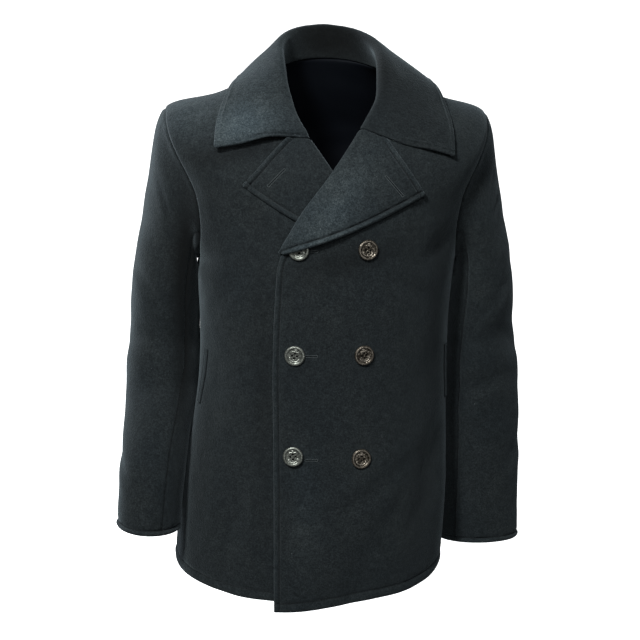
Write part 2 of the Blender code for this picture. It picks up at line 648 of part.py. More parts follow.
def sheet(collection, name, grid, thickness, flip=False):
    """A wall of cloth on a grid of points, its outer face to the outside."""
    rows, columns = grid.shape[:2]
    points = [tuple(p) for p in grid.reshape(-1, 3)]
    faces = []
    for i in range(rows - 1):
        for j in range(columns - 1):
            a = i * columns + j
            corners = (a, a + 1, a + columns + 1, a + columns)
            faces.append(corners[::-1] if flip else corners)
    mesh = bpy.data.meshes.new(name)
    mesh.from_pydata(points, [], faces)
    mesh.shade_smooth()
    thing = bpy.data.objects.new(name, mesh)
    thing.data.materials.append(finish(name, NAVY, WOOL_ROUGH, 0.0))
    wall = thing.modifiers.new("Wall", "SOLIDIFY")
    wall.thickness = thickness
    wall.offset = 0
    wall.use_even_offset = True
    collection.objects.link(thing)
    return thing


def add_body(collection):
    rows = body_rows()
    sheet(collection, "front_left", front_grid(1, BODY_COLUMNS, rows), CLOTH)
    sheet(collection, "front_right", front_grid(-1, BODY_COLUMNS, rows), CLOTH, flip=True)
    sheet(collection, "back", back_grid(BACK_COLUMNS, rows), CLOTH, flip=True)


def add_sleeves(collection):
    rows = np.concatenate([CAP_ROWS, np.linspace(CAP_ROWS[-1], 1, SLEEVE_ROWS)[1:]])
    for side, name in ((1, "sleeve_left"), (-1, "sleeve_right")):
        top = sleeve_grid(side, -SLEEVE_SEAM, SLEEVE_SEAM, rows)
        under = sleeve_grid(side, SLEEVE_SEAM, 360 - SLEEVE_SEAM, rows)
        sheet(collection, f"{name}_top", top, CLOTH, flip=side < 0)
        sheet(collection, f"{name}_under", under, CLOTH, flip=side < 0)


def add_collar_and_lapels(collection):
    sheet(collection, "collar", collar_grid(COLLAR_STATIONS, COLLAR_COLUMNS), DOUBLE)
    for side, name in ((1, "lapel_left"), (-1, "lapel_right")):
        grid = lapel_grid(side, LAPEL_ROWS, LAPEL_COLUMNS)
        sheet(collection, name, grid, DOUBLE, flip=side < 0)


def add_welts(collection):
    for side, name in ((1, "pocket_welt_left"), (-1, "pocket_welt_right")):
        f, across = np.meshgrid(np.linspace(0, 1, WELT_ROWS), (-0.5, 0.5), indexing="ij")
        round_ = between(WELT_BOTTOM[0], WELT_TOP[0], f) + across * WELT_WIDTH / BODY[1].front
        up = between(WELT_BOTTOM[1], WELT_TOP[1], f)
        grid = body(side * round_, up, CLOTH / 2 + 2 * SEAM + WELT / 2)
        sheet(collection, name, grid, WELT, flip=side < 0)


def button_blank():
    """One button, turned from its outline with a raised rim and drilled with four holes."""
    mesh = bpy.data.meshes.new("button outline")
    points = [(BUTTON_RADIUS * spot.out, 0, BUTTON_THICK * spot.up) for spot in BUTTON_OUTLINE]
    edges = [(i, i + 1) for i in range(len(points) - 1)]
    mesh.from_pydata(points, edges, [])
    blank = bpy.data.objects.new("button blank", mesh)
    turned = blank.modifiers.new("Turned", "SCREW")
    turned.steps = BUTTON_SEGMENTS
    turned.render_steps = BUTTON_SEGMENTS
    turned.use_merge_vertices = True
    turned.merge_threshold = BUTTON_MERGE
    return blank


def hole_cutter(collection):
    """Four pins in a square on its point, as one mesh."""
    shape = bmesh.new()
    for quarter in range(4):
        turn = quarter * math.pi / 2
        place = Vector((math.cos(turn), math.sin(turn), 0)) * BUTTON_HOLE_AT
        bmesh.ops.create_cone(
            shape,
            cap_ends=True,
            segments=HOLE_SEGMENTS,
            radius1=BUTTON_HOLE,
            radius2=BUTTON_HOLE,
            depth=4 * BUTTON_THICK,
            matrix=Matrix.Translation(place),
        )
    mesh = bpy.data.meshes.new("button holes")
    shape.to_mesh(mesh)
    shape.free()
    cutter = bpy.data.objects.new("button holes", mesh)
    cutter.hide_render = True
    cutter.display_type = "WIRE"
    collection.objects.link(cutter)
    return cutter


def add_buttons(collection, cutters):
    """Six like buttons, each flat on the left front, which laps over."""
    blank = button_blank()
    collection.objects.link(blank)
    drilled = blank.modifiers.new("Drilled", "BOOLEAN")
    drilled.operation = "DIFFERENCE"
    drilled.object = hole_cutter(cutters)
    bpy.context.view_layer.update()
    finished = blank.evaluated_get(bpy.context.evaluated_depsgraph_get())
    mesh = bpy.data.meshes.new_from_object(finished)
    mesh.name = "button"
    mesh.shade_smooth()
    mesh.set_sharp_from_angle(angle=BUTTON_CREASE)
    mesh.materials.clear()
    mesh.materials.append(finish("button", PEWTER, PEWTER_ROUGH, PEWTER_METALLIC))
    bpy.data.objects.remove(blank)
    for name, places in (("button_left", BUTTONS_LEFT), ("button_right", BUTTONS_RIGHT)):
        for number, (x, z) in enumerate(places, 1):
            button = bpy.data.objects.new(f"{name}_{number}", mesh)
            base, outward = over_front(x, z)
            button.location = Vector(base + outward * (CLOTH / 2 + BUTTON_GAP))
            button.rotation_euler = Vector(outward).to_track_quat("Z", "Y").to_euler()
            collection.objects.link(button)


def main():
    for thing in list(bpy.data.objects):
        bpy.data.objects.remove(thing)
    coat = bpy.data.collections.new("pea coat")
    cutters = bpy.data.collections.new("cutters")
    bpy.context.scene.collection.children.link(coat)
    bpy.context.scene.collection.children.link(cutters)
    add_body(coat)
    add_sleeves(coat)
    add_collar_and_lapels(coat)
    add_welts(coat)
    add_buttons(coat, cutters)
    bpy.context.view_layer.update()


main()
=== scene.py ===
import math
from collections import namedtuple

import bpy
import numpy as np
from mathutils import Matrix, Vector
from mathutils.kdtree import KDTree


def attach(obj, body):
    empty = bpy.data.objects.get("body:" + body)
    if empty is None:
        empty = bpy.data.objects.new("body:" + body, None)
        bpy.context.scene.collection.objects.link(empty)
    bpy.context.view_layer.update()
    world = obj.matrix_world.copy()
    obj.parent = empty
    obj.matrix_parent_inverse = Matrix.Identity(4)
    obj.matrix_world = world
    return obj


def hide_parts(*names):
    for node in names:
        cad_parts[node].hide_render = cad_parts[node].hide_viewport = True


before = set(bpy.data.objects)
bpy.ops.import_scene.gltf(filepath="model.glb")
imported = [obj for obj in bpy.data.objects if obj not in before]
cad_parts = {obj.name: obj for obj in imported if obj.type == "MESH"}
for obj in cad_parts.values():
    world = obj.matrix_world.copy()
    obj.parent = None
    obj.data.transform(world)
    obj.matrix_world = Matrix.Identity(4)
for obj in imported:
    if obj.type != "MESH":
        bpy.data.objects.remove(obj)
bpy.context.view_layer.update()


# ---------------------------------------------------------------- back
# The back is one panel of heavy melton wool, lined in dark twill. It runs from the hem to the
# neck, is seamed to the fronts at the sides and shoulders and takes the sleeves at its armholes.

# Rings of the body from hem to neck: how far up it, its half width and depths, the heights of its
# side, front and back, how square it is, where its middle lies, and its front's rise to the left
Ring = namedtuple(
    "Ring", "up half_width front back z_side z_front z_back square side_x front_x rise"
)
BODY = (
    Ring(0.000, 0.205, 0.163, 0.140, -0.738, -0.762, -0.745, 2.35, -0.030, -0.020, 0.00),
    Ring(0.120, 0.202, 0.163, 0.141, -0.618, -0.630, -0.620, 2.30, -0.020, -0.018, 0.00),
    Ring(0.310, 0.187, 0.158, 0.122, -0.428, -0.432, -0.428, 2.25, -0.005, -0.014, 0.00),
    Ring(0.465, 0.194, 0.161, 0.130, -0.275, -0.288, -0.270, 2.25, -0.003, -0.008, 0.00),
    Ring(0.580, 0.215, 0.155, 0.137, -0.163, -0.212, -0.165, 2.30, -0.002, -0.005, 0.00),
    Ring(0.690, 0.237, 0.143, 0.124, -0.055, -0.152, -0.090, 2.30, -0.001, -0.002, 0.02),
    Ring(0.765, 0.164, 0.136, 0.099, -0.032, -0.124, -0.036, 2.20, 0.004, 0.000, 0.14),
    Ring(0.840, 0.087, 0.128, 0.076, 0.000, -0.0975, 0.020, 2.10, 0.007, 0.001, 0.28),
)
SHOULDER_TILT = 0.018  # the wearer's left shoulder hangs lower by this much a metre
SHOULDER_TIP = BODY[5].up
NECK = BODY[7].up
ARMHOLE_MIDDLE = 0.5775
ARMHOLE_HALF = SHOULDER_TIP - ARMHOLE_MIDDLE
ARMHOLE_FRONT = math.radians(28)
ARMHOLE_BACK = math.radians(25)
MELTON = 0.003  # one layer with its lining
NUDGE = 0.001  # for slopes
SEAM_SLIT = 0.0001  # radians by which each panel stops short of the side seam
BACK_SPACING = 0.0038  # the cloth's points are this far apart away from its edges

# Soft hollows of the fronts, as long ovals seen from ahead
Fold = namedtuple("Fold", "x z length width turn depth")
BODY_FOLDS = (
    Fold(-0.110, -0.225, 0.070, 0.022, -40, 0.0035),
    Fold(-0.190, -0.270, 0.050, 0.030, 20, 0.0045),
    Fold(-0.150, -0.640, 0.140, 0.040, 80, 0.0050),
    Fold(0.080, -0.640, 0.150, 0.034, 62, 0.0050),
    Fold(0.150, -0.560, 0.120, 0.030, 75, 0.0045),
    Fold(0.150, -0.240, 0.080, 0.030, 55, 0.0030),
)


def faired(start, end, slope_in, slope_out, span, f):
    """A curve's place a part f of the way from one of its points to the next."""
    ends = start * (1 + 2 * f) * (1 - f) ** 2 + end * f * f * (3 - 2 * f)
    return ends + span * (slope_in * f * (1 - f) ** 2 - slope_out * f * f * (1 - f))


def smooth(table, column, at):
    """A smooth curve through one column of a table."""
    x = np.array([row[0] for row in table])
    y = np.array([getattr(row, column) for row in table])
    slope = np.gradient(y, x)
    at = np.clip(at, x[0], x[-1])
    i = np.clip(np.searchsorted(x, at) - 1, 0, len(x) - 2)
    span = x[i + 1] - x[i]
    return faired(y[i], y[i + 1], slope[i], slope[i + 1], span, (at - x[i]) / span)


def fade(x, near, far):
    """1 up to near, 0 from far on, and a smooth fall between them."""
    f = np.clip((x - near) / (far - near), 0, 1)
    return 1 - f * f * (3 - 2 * f)


def between(a, b, f):
    return np.asarray(a) + (np.asarray(b) - np.asarray(a)) * f


def unit(v):
    return v / np.maximum(np.linalg.norm(v, axis=-1, keepdims=True), 1e-12)


def flattened(x, square):
    """A circle's sine or cosine, squared off as a body's cross-section is."""
    return np.sign(x) * np.abs(x) ** (2 / square)


def plain_body(round_, up):
    """The coat's body without folds: 0 is the front, 90 degrees the wearer's left."""
    c, s = np.cos(round_), np.sin(round_)
    ring = {name: smooth(BODY, name, up) for name in Ring._fields[1:]}
    front = np.clip(c, 0, 1)
    shift = ring["side_x"] + (ring["front_x"] - ring["side_x"]) * front**1.5
    x = shift + ring["half_width"] * flattened(s, ring["square"])
    depth = np.where(c > 0, ring["front"], ring["back"])
    y = -depth * flattened(c, ring["square"])
    far_z = np.where(c > 0, ring["z_front"], ring["z_back"])
    z = ring["z_side"] + (far_z - ring["z_side"]) * np.abs(c) ** 1.5
    z = z + ring["rise"] * (x - shift) * front**1.5
    z = z - SHOULDER_TILT * x * (1 - fade(up, 0.30, 0.65))
    return np.stack(np.broadcast_arrays(x, y, z), -1)


def body_normal(round_, up):
    across = plain_body(round_ + NUDGE, up) - plain_body(round_ - NUDGE, up)
    along = plain_body(round_, up + NUDGE) - plain_body(round_, up - NUDGE)
    return unit(np.cross(across, along))


def along_and_across(x, z, mark):
    """How far places on a plan lie along a mark's own line and across it."""
    turn, x, z = math.radians(mark.turn), x - mark.x, z - mark.z
    return x * math.cos(turn) + z * math.sin(turn), z * math.cos(turn) - x * math.sin(turn)


def fold_depth(x, z):
    total = 0
    for fold in BODY_FOLDS:
        a, b = along_and_across(x, z, fold)
        oval = np.exp(-((2 * a / fold.length) ** 2) - (2 * b / fold.width) ** 2)
        total = total + fold.depth * oval
    return total


def body(round_, up, lift=0.0):
    """The coat's body with its folds, or a face that lies a lift out from it."""
    at = plain_body(round_, up)
    ahead = np.cos(round_) > -0.2
    out = lift - np.where(ahead, fold_depth(at[..., 0], at[..., 2]), 0)
    return at + body_normal(round_, up) * np.expand_dims(out, -1)


def armhole_reach(up):
    """How deep the armhole's oval bites into the panels at a height, from 0 to 1."""
    height = np.clip((up - ARMHOLE_MIDDLE) / ARMHOLE_HALF, -1, 1)
    return np.sqrt(1 - height**2)


def run_along(points, axis=0):
    """How far each point lies along its own row or column of a grid."""
    first = points[:1] if axis == 0 else points[:, :1]
    return np.cumsum(np.linalg.norm(np.diff(points, axis=axis, prepend=first), axis=-1), axis)


def facing_of(grid, side=1):
    """The way that cloth on a grid of points faces at each of them."""
    return unit(np.cross(np.gradient(grid, axis=1), np.gradient(grid, axis=0)) * side)


# Metres from an edge at which the cloth has its points: close where it rounds over and is sewn
SEWN_STEPS = np.array((
    0, 0.3, 0.8, 1.5, 2.4, 3.4, 4.6, 5.8, 6.8, 7.6, 8.3, 9.0, 9.8,
    10.8, 12.2, 13.2, 14.0, 14.8, 16, 18, 21,
)) / 1000
SEAM_STEPS = np.array((0, 0.3, 0.8, 1.5, 2.4, 3.6, 5.2, 7.5)) / 1000


def spaced(width, first, last, spacing):
    """Places across pieces of these widths, close together at both edges."""
    width = np.atleast_1d(width)[:, None]
    squeeze = np.minimum(1, width / (1.6 * (first[-1] + last[-1])))
    middle = np.max(width) - first[-1] - last[-1]
    inner = np.linspace(0, 1, max(int(middle / spacing), 6))[1:-1]
    low, high = first[-1] * squeeze, width - last[-1] * squeeze
    middle, end = low + (high - low) * inner, width - last[::-1] * squeeze
    return np.concatenate([first * squeeze, middle, end], 1)


CALM = 0.018  # an edge's sudden bends are drawn out over about this height
EDGE_ONLY = 0.050  # and felt in full only within this distance of the edge
STEP_UP = 0.001  # metres between the even heights that this is worked out at


def calmed(heights, turns):
    """The line of an edge with its sudden bends, as below an armhole, drawn out over its height."""
    even = np.arange(heights[0], heights[-1], STEP_UP)
    count = 60
    weight = np.exp(-0.5 * (np.arange(-count, count + 1) * STEP_UP / CALM) ** 2)
    line = np.pad(np.interp(even, heights, turns), count, mode="edge")
    return np.interp(heights, even, np.convolve(line, weight / weight.sum(), "valid"))


def lay_out(make, heights, true_start, true_end, first, last, spacing, fine=161):
    """Turns round each row of a piece that put its points at the wanted distances."""
    start, end = calmed(heights, true_start), calmed(heights, true_end)
    turn = start[:, None] + (end - start)[:, None] * np.linspace(0, 1, fine)
    run = run_along(make(turn), 1)
    places = spaced(run[:, -1], first, last, spacing)
    laid = np.array([np.interp(p, r, t) for p, r, t in zip(places, run, turn)])
    laid += (true_start - start)[:, None] * fade(places, 0, EDGE_ONLY)
    return laid + (true_end - end)[:, None] * fade(run[:, -1:] - places, 0, EDGE_ONLY)


def at_heights(heights):
    """The body's places for turns round it, one row at each of these heights."""
    def place(turn):
        return body(turn, np.broadcast_to(heights[:, None], turn.shape))
    return place


def off_seam(round_, seam):
    """0 at a panel's side seam and armhole, rising to 1 away from it."""
    return 1 - fade(np.abs(round_ - seam[:, None]), 0.0, 0.22)


def panel_heights():
    """The heights of a panel's rows: close at the hem, and set by the armhole's curve beside it."""
    armpit = ARMHOLE_MIDDLE - ARMHOLE_HALF
    lower = np.linspace(SEWN_STEPS[-1], armpit - 0.003, 112)[1:]
    turn = np.linspace(math.pi, 0, 76)
    turn = turn[(np.sin(turn) > 0.12) | (np.sin(turn) < 0.001)]
    shoulder = SHOULDER_TIP + (NECK - SHOULDER_TIP) * np.linspace(0, 1, 40)[1:] ** 1.3
    beside = ARMHOLE_MIDDLE + ARMHOLE_HALF * np.cos(turn)
    return np.concatenate([SEWN_STEPS, lower, beside, shoulder])


def uneven(points, size, seed, waves=9):
    """A smooth, irregular field from about -1 to 1, with bumps of about this size."""
    rng = np.random.default_rng(seed)
    total = 0
    for _ in range(waves):
        way = unit(rng.normal(size=3)) * 2 * math.pi / (size * rng.uniform(0.8, 1.9))
        total = total + np.sin(points @ way + rng.uniform(0, 2 * math.pi))
    return total / math.sqrt(waves)


# Creases of wear: each a trough with a soft ridge beside it, slightly bent
Crease = namedtuple("Crease", "x z length width turn depth bend")


def creased(x, z, creases):
    """How far creases move the cloth out or in at places on a plan."""
    total = 0
    for c in creases:
        a, b = along_and_across(x, z, c)
        b = b - c.bend * a * a
        reach = np.exp(-np.abs(2 * a / c.length) ** 3)
        ridge = 0.45 * np.exp(-(((b - 1.9 * c.width) / (1.2 * c.width)) ** 2))
        total = total + c.depth * reach * (ridge - np.exp(-((b / c.width) ** 2)))
    return total


def worn(grid, creases, seed):
    """How far wear moves a panel of the body: creases, and soft waves of two sizes."""
    hang = creased(grid[..., 0], grid[..., 2], creases)
    return hang + 0.0010 * uneven(grid, 0.11, seed) + 0.0003 * uneven(grid, 0.035, seed + 1)


def away_from(points, edge):
    """How far each point lies from an edge."""
    run = run_along(edge)
    fine = np.unique(np.concatenate([run, np.arange(0, run[-1], 0.0006)]))
    dense = np.stack([np.interp(fine, run, edge[:, k]) for k in range(3)], -1)
    tree = KDTree(len(dense))
    for i, p in enumerate(dense):
        tree.insert(p, i)
    tree.balance()
    return np.array([tree.find(p)[2] for p in points.reshape(-1, 3)]).reshape(points.shape[:-1])


# How an edge is finished. A turned edge is rolled over and topstitched, and puffs up outside the
# stitching. A seam sinks a little where two pieces are sewn together.
Finish = namedtuple("Finish", "round_ puff sewn dip")
TURNED = Finish(0.0028, 0.0014, 0.0080, 0.0018)
HEMMED = Finish(0.0026, 0.0007, 0.0140, 0.0013)
SEAMED = Finish(0.0012, 0.0, None, 0.0014)
HIDDEN = Finish(0.0011, 0.0, None, 0.0)
BAND_HIGHLIGHT = 0.30  # painted highlight: a puffed edge is painted paler by this part, painted shade: the groove of its stitches is painted darker by this part, painted shade: a seam's dip is painted darker by this part
GROOVE_SHADE = 0.60  # and is darker by this part in the groove of its stitches
SEAM_SHADE = 0.55  # and at a seam
Skin = namedtuple("Skin", "points normals away")
# Soft ovals of painted light where light > 0 and of painted shade where it is below 0, laid where light
# and shade fall on the coat
PaintedLight = namedtuple("PaintedLight", "x z turn long wide light")


def painted_light_and_shade(points, painted_lights):
    """How pale each point is painted: painted light in some places and painted shade in others."""
    pale = np.ones(len(points))
    for painted_light in painted_lights:
        along, across = along_and_across(points[:, 0], points[:, 2], painted_light)
        pale += painted_light.light * np.exp(-((along / painted_light.long) ** 2) - (across / painted_light.wide) ** 2)
    return np.maximum(pale, 0.15)


def mesh_of(name, points, edges, faces):
    mesh = bpy.data.meshes.new(name)
    mesh.from_pydata(points, edges, faces)
    return mesh


def placed(name, data):
    """An object that holds a mesh, a lamp or a camera, put in the scene."""
    thing = bpy.data.objects.new(name, data)
    bpy.context.scene.collection.objects.link(thing)
    return thing


LINED_FROM = 0.035  # the lining starts this far in from the hem or the cuff


def cloth(name, middle, thick, facing, edges, materials, lined_from=None, seed=1, painted_lights=()):
    """A closed piece of cloth on a grid of points: its outside, its inside and rounded edges."""
    rows, columns = middle.shape[:2]
    normal = facing_of(middle, facing)
    roll = np.ones((rows, columns))
    relief = np.zeros((rows, columns))
    painted_edge_shading = np.zeros((rows, columns))
    away = []
    for border, finish in edges:
        d = away_from(middle, border)
        away.append(d)
        roll *= np.sqrt(np.clip(1 - (1 - np.clip(d / finish.round_, 0, 1)) ** 2, 0, 1))
        if finish.sewn:
            pull = 1 + 0.35 * uneven(middle, 0.014, seed + 7)
            swell = np.exp(-(((d - 0.48 * finish.sewn) / (0.36 * finish.sewn)) ** 2))
            relief += finish.puff * swell * (1 + 0.35 * uneven(middle, 0.022, seed))
            relief -= finish.dip * pull * np.exp(-(((d - finish.sewn) / 0.0013) ** 2))
            relief -= 0.4 * finish.dip * np.exp(-(((d - finish.sewn) / 0.0045) ** 2))
            # painted highlight on the puffed band, and painted shade in the groove of the stitches
            groove = np.exp(-(((d - finish.sewn) / 0.0009) ** 2)) * finish.dip / TURNED.dip
            painted_edge_shading += BAND_HIGHLIGHT * swell * finish.puff / TURNED.puff - GROOVE_SHADE * groove
        else:
            relief -= finish.dip * np.exp(-((d / 0.0028) ** 2))
            # painted shade in the seam's dip
            painted_edge_shading -= SEAM_SHADE * np.exp(-((d / 0.0016) ** 2)) * (finish.dip > 0)
    roll[[0, -1], :] = 0
    roll[:, [0, -1]] = 0
    half = thick / 2 * roll
    outer = middle + normal * (half + relief * np.minimum(1, roll * 1.5))[..., None]
    inner = middle - normal * (half - 0.3 * relief * roll)[..., None]

    number = np.arange(rows * columns).reshape(rows, columns)
    back_number = number.copy()
    within = np.arange((rows - 2) * (columns - 2)).reshape(rows - 2, -1)
    back_number[1:-1, 1:-1] = rows * columns + within
    points = np.concatenate([outer.reshape(-1, 3), inner[1:-1, 1:-1].reshape(-1, 3)])

    def quads(n):
        return np.stack([n[:-1, :-1], n[:-1, 1:], n[1:, 1:], n[1:, :-1]], -1).reshape(-1, 4)

    out_faces, in_faces = quads(number), quads(back_number)[:, ::-1]
    if facing < 0:
        out_faces, in_faces = out_faces[:, ::-1], in_faces[:, ::-1]
    mesh = mesh_of(name, points.tolist(), [], np.concatenate([out_faces, in_faces]).tolist())
    for material in materials:
        mesh.materials.append(material)
    if lined_from is not None:
        lined = (away[0] > lined_from)[:-1, :-1].reshape(-1)
        slots = np.concatenate([np.zeros(len(out_faces), np.int32), lined.astype(np.int32)])
        mesh.polygons.foreach_set("material_index", slots)
    plan = np.stack([run_along(middle, 1), run_along(middle)], -1)
    plan = np.concatenate([plan.reshape(-1, 2), plan[1:-1, 1:-1].reshape(-1, 2)])
    # each point carries painted light and shade: the ovals given, times the painted highlight and shade
    # of its edges and seams
    pale = mesh.attributes.new("painted_light", "FLOAT", "POINT")
    painted_edge_shading = np.concatenate([painted_edge_shading.reshape(-1), 0 * painted_edge_shading[1:-1, 1:-1].reshape(-1)])
    shade = np.maximum(painted_light_and_shade(points, painted_lights) * (1 + painted_edge_shading), 0.1)
    pale.data.foreach_set("value", shade.astype(np.float32))
    layer = mesh.uv_layers.new(name="cut")
    corner = np.empty(len(mesh.loops), np.int32)
    mesh.loops.foreach_get("vertex_index", corner)
    layer.data.foreach_set("uv", plan[corner].reshape(-1).astype(np.float32))
    mesh.shade_smooth()
    piece = placed(name, mesh)
    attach(piece, "root")
    return piece, Skin(outer, normal, away)


class Surface:
    """A short way to wire a material's nodes on Object coordinates."""

    def __init__(self, name):
        self.material = bpy.data.materials.new(name)
        self.material.use_nodes = True
        self.nodes = self.material.node_tree.nodes
        self.link = self.material.node_tree.links.new
        self.shader = self.nodes["Principled BSDF"]
        self.place = self.nodes.new("ShaderNodeTexCoord").outputs["Object"]

    def set(self, **values):
        for key, value in values.items():
            self.shader.inputs[key.replace("_", " ")].default_value = value

    def texture(self, kind, place=None, **values):
        made = self.nodes.new("ShaderNodeTex" + kind)
        for key, value in values.items():
            made.inputs[key].default_value = value
        self.link(place or self.place, made.inputs["Vector"])
        return made

    def noise(self, scale, detail, roughness=0.5):
        made = self.texture("Noise", Scale=scale, Detail=detail, Roughness=roughness)
        return made.outputs["Fac"]

    def attribute(self, name):
        made = self.nodes.new("ShaderNodeAttribute")
        made.attribute_name = name
        return made.outputs["Fac"]

    def ramp(self, source, *stops):
        band = self.nodes.new("ShaderNodeValToRGB")
        for i, (at, colour) in enumerate(stops):
            stop = band.color_ramp.elements[i] if i < 2 else band.color_ramp.elements.new(at)
            stop.position = at
            stop.color = (*colour, 1)
        self.link(source, band.inputs["Fac"])
        return band.outputs["Color"]

    def mix(self, kind, amount, a, b):
        both = self.nodes.new("ShaderNodeMix")
        both.data_type = "RGBA"
        both.blend_type = kind
        colours = [s for s in both.inputs if s.type == "RGBA"]
        factor = [s for s in both.inputs if s.type == "VALUE"][0]
        for socket, value in ((factor, amount), (colours[0], a), (colours[1], b)):
            if isinstance(value, (float, tuple)):
                socket.default_value = value
            else:
                self.link(value, socket)
        return [s for s in both.outputs if s.type == "RGBA"][0]

    def bump(self, height, strength, distance, below=None):
        raised = self.nodes.new("ShaderNodeBump")
        raised.inputs["Strength"].default_value = strength
        raised.inputs["Distance"].default_value = distance
        self.link(height, raised.inputs["Height"])
        if below:
            self.link(below, raised.inputs["Normal"])
        return raised.outputs["Normal"]


def melton_wool(name):
    """Fulled melton: a dense, short, slightly hairy pile in dark navy, with a little lint, its colour
    scaled by the painted light and shade that each piece carries.
    """
    wool = Surface(name)
    wool.set(Roughness=0.92, Specular_IOR_Level=0.14, Sheen_Weight=0.16, Sheen_Roughness=0.45)
    wool.set(Sheen_Tint=(0.66, 0.80, 0.88, 1))
    dark, mid, pale = (0.0054, 0.0072, 0.0082), (0.0133, 0.0172, 0.0190), (0.0310, 0.0382, 0.0408)
    fibres = wool.ramp(wool.noise(1300, 3, 0.7), (0.30, dark), (0.72, pale), (0.51, mid))
    colour = fibres
    for scale, detail, rough, low, high in (
        (400, 3, 0.7, (0.36, (0.42, 0.45, 0.47)), (0.64, (1.25, 1.24, 1.22))),  # tufts
        (110, 4, 0.65, (0.34, (0.66, 0.69, 0.71)), (0.66, (1.12, 1.11, 1.10))),  # blotches
        (13, 4, 0.55, (0.30, (0.74, 0.78, 0.82)), (0.70, (1.05, 1.02, 0.99))),  # patches
    ):
        colour = wool.mix("MULTIPLY", 1.0, colour, wool.ramp(wool.noise(scale, detail, rough), low, high))
    specks = wool.texture("Voronoi", Scale=120)
    tiny = wool.ramp(specks.outputs["Distance"], (0.045, (1, 1, 1)), (0.095, (0, 0, 0)))
    sparse = wool.ramp(specks.outputs["Color"], (0.84, (0, 0, 0)), (0.88, (1, 1, 1)))
    lint = wool.mix("MULTIPLY", 1.0, tiny, sparse)
    colour = wool.mix("MIX", lint, colour, (0.10, 0.115, 0.12, 1))
    # the colour is scaled by the painted light and shade that the points carry
    colour = wool.mix("MULTIPLY", 1.0, colour, wool.attribute("painted_light"))
    wool.link(colour, wool.shader.inputs["Base Color"])
    felted = wool.bump(wool.noise(300, 4, 0.65), 0.75, 0.0013)
    hairy = wool.bump(wool.noise(1100, 3, 0.7), 0.45, 0.0004, felted)
    wool.link(hairy, wool.shader.inputs["Normal"])
    return wool.material


def lining_twill():
    """Near-black twill with fine slanted ribs that follow the cut: a dark lining, darkened further as
    painted shade for the inside of the coat.
    """
    twill = Surface("lining")
    twill.set(Roughness=0.70, Specular_IOR_Level=0.08)
    cut = twill.nodes.new("ShaderNodeUVMap")
    cut.uv_map = "cut"
    turned = twill.nodes.new("ShaderNodeMapping")
    turned.inputs["Rotation"].default_value = (0, 0, math.radians(63))
    twill.link(cut.outputs["UV"], turned.inputs["Vector"])
    ribs = twill.texture("Wave", turned.outputs["Vector"], Scale=340, Distortion=0.6).outputs["Fac"]
    colour = twill.ramp(ribs, (0, (0.0009, 0.0015, 0.0028)), (1, (0.0019, 0.0030, 0.0052)))
    twill.link(colour, twill.shader.inputs["Base Color"])
    twill.link(twill.bump(ribs, 0.15, 0.0002), twill.shader.inputs["Normal"])
    return twill.material


def thread_material(name, dark, pale):
    """Twisted cotton thread with fine slanted plies."""
    thread = Surface(name)
    thread.set(Roughness=0.75, Specular_IOR_Level=0.3)
    colour = thread.ramp(thread.noise(2600, 2), (0.35, dark), (0.65, pale))
    thread.link(colour, thread.shader.inputs["Base Color"])
    thread.link(thread.bump(thread.noise(3800, 1), 0.4, 0.0001), thread.shader.inputs["Normal"])
    return thread.material


def stitch_tree(thread):
    """Small rounded stitches laid one after another along a line, on the face it lies on."""
    tree = bpy.data.node_groups.new("stitches along a line", "GeometryNodeTree")
    face = tree.interface
    face.new_socket("Geometry", in_out="INPUT", socket_type="NodeSocketGeometry")
    for label in ("Pitch", "Stitch length", "Thread width"):
        face.new_socket(label, in_out="INPUT", socket_type="NodeSocketFloat")
    face.new_socket("Geometry", in_out="OUTPUT", socket_type="NodeSocketGeometry")
    node, link = tree.nodes.new, tree.links.new
    given, result = node("NodeGroupInput"), node("NodeGroupOutput")
    line = node("GeometryNodeMeshToCurve")
    link(given.outputs["Geometry"], line.inputs["Mesh"])
    places = node("GeometryNodeCurveToPoints")
    places.mode = "LENGTH"
    link(line.outputs["Curve"], places.inputs["Curve"])
    link(given.outputs["Pitch"], places.inputs["Length"])
    outward = node("GeometryNodeInputNamedAttribute")
    outward.data_type = "FLOAT_VECTOR"
    outward.inputs["Name"].default_value = "outward"
    first = node("FunctionNodeAlignRotationToVector")
    first.axis = "X"
    link(places.outputs["Tangent"], first.inputs["Vector"])
    second = node("FunctionNodeAlignRotationToVector")
    second.axis = "Z"
    second.pivot_axis = "X"
    link(first.outputs["Rotation"], second.inputs["Rotation"])
    link(outward.outputs["Attribute"], second.inputs["Vector"])
    stitch = node("GeometryNodeMeshUVSphere")
    for label, value in (("Segments", 6), ("Rings", 4), ("Radius", 0.5)):
        stitch.inputs[label].default_value = value
    size = node("ShaderNodeCombineXYZ")
    for label, axis in (("Stitch length", "X"), ("Thread width", "Y"), ("Thread width", "Z")):
        link(given.outputs[label], size.inputs[axis])
    laid = node("GeometryNodeInstanceOnPoints")
    link(places.outputs["Points"], laid.inputs["Points"])
    link(stitch.outputs["Mesh"], laid.inputs["Instance"])
    link(second.outputs["Rotation"], laid.inputs["Rotation"])
    link(size.outputs["Vector"], laid.inputs["Scale"])
    plain = node("GeometryNodeRealizeInstances")
    link(laid.outputs["Instances"], plain.inputs["Geometry"])
    coloured = node("GeometryNodeSetMaterial")
    coloured.inputs["Material"].default_value = thread
    link(plain.outputs["Geometry"], coloured.inputs["Geometry"])
    link(coloured.outputs["Geometry"], result.inputs["Geometry"])
    return tree


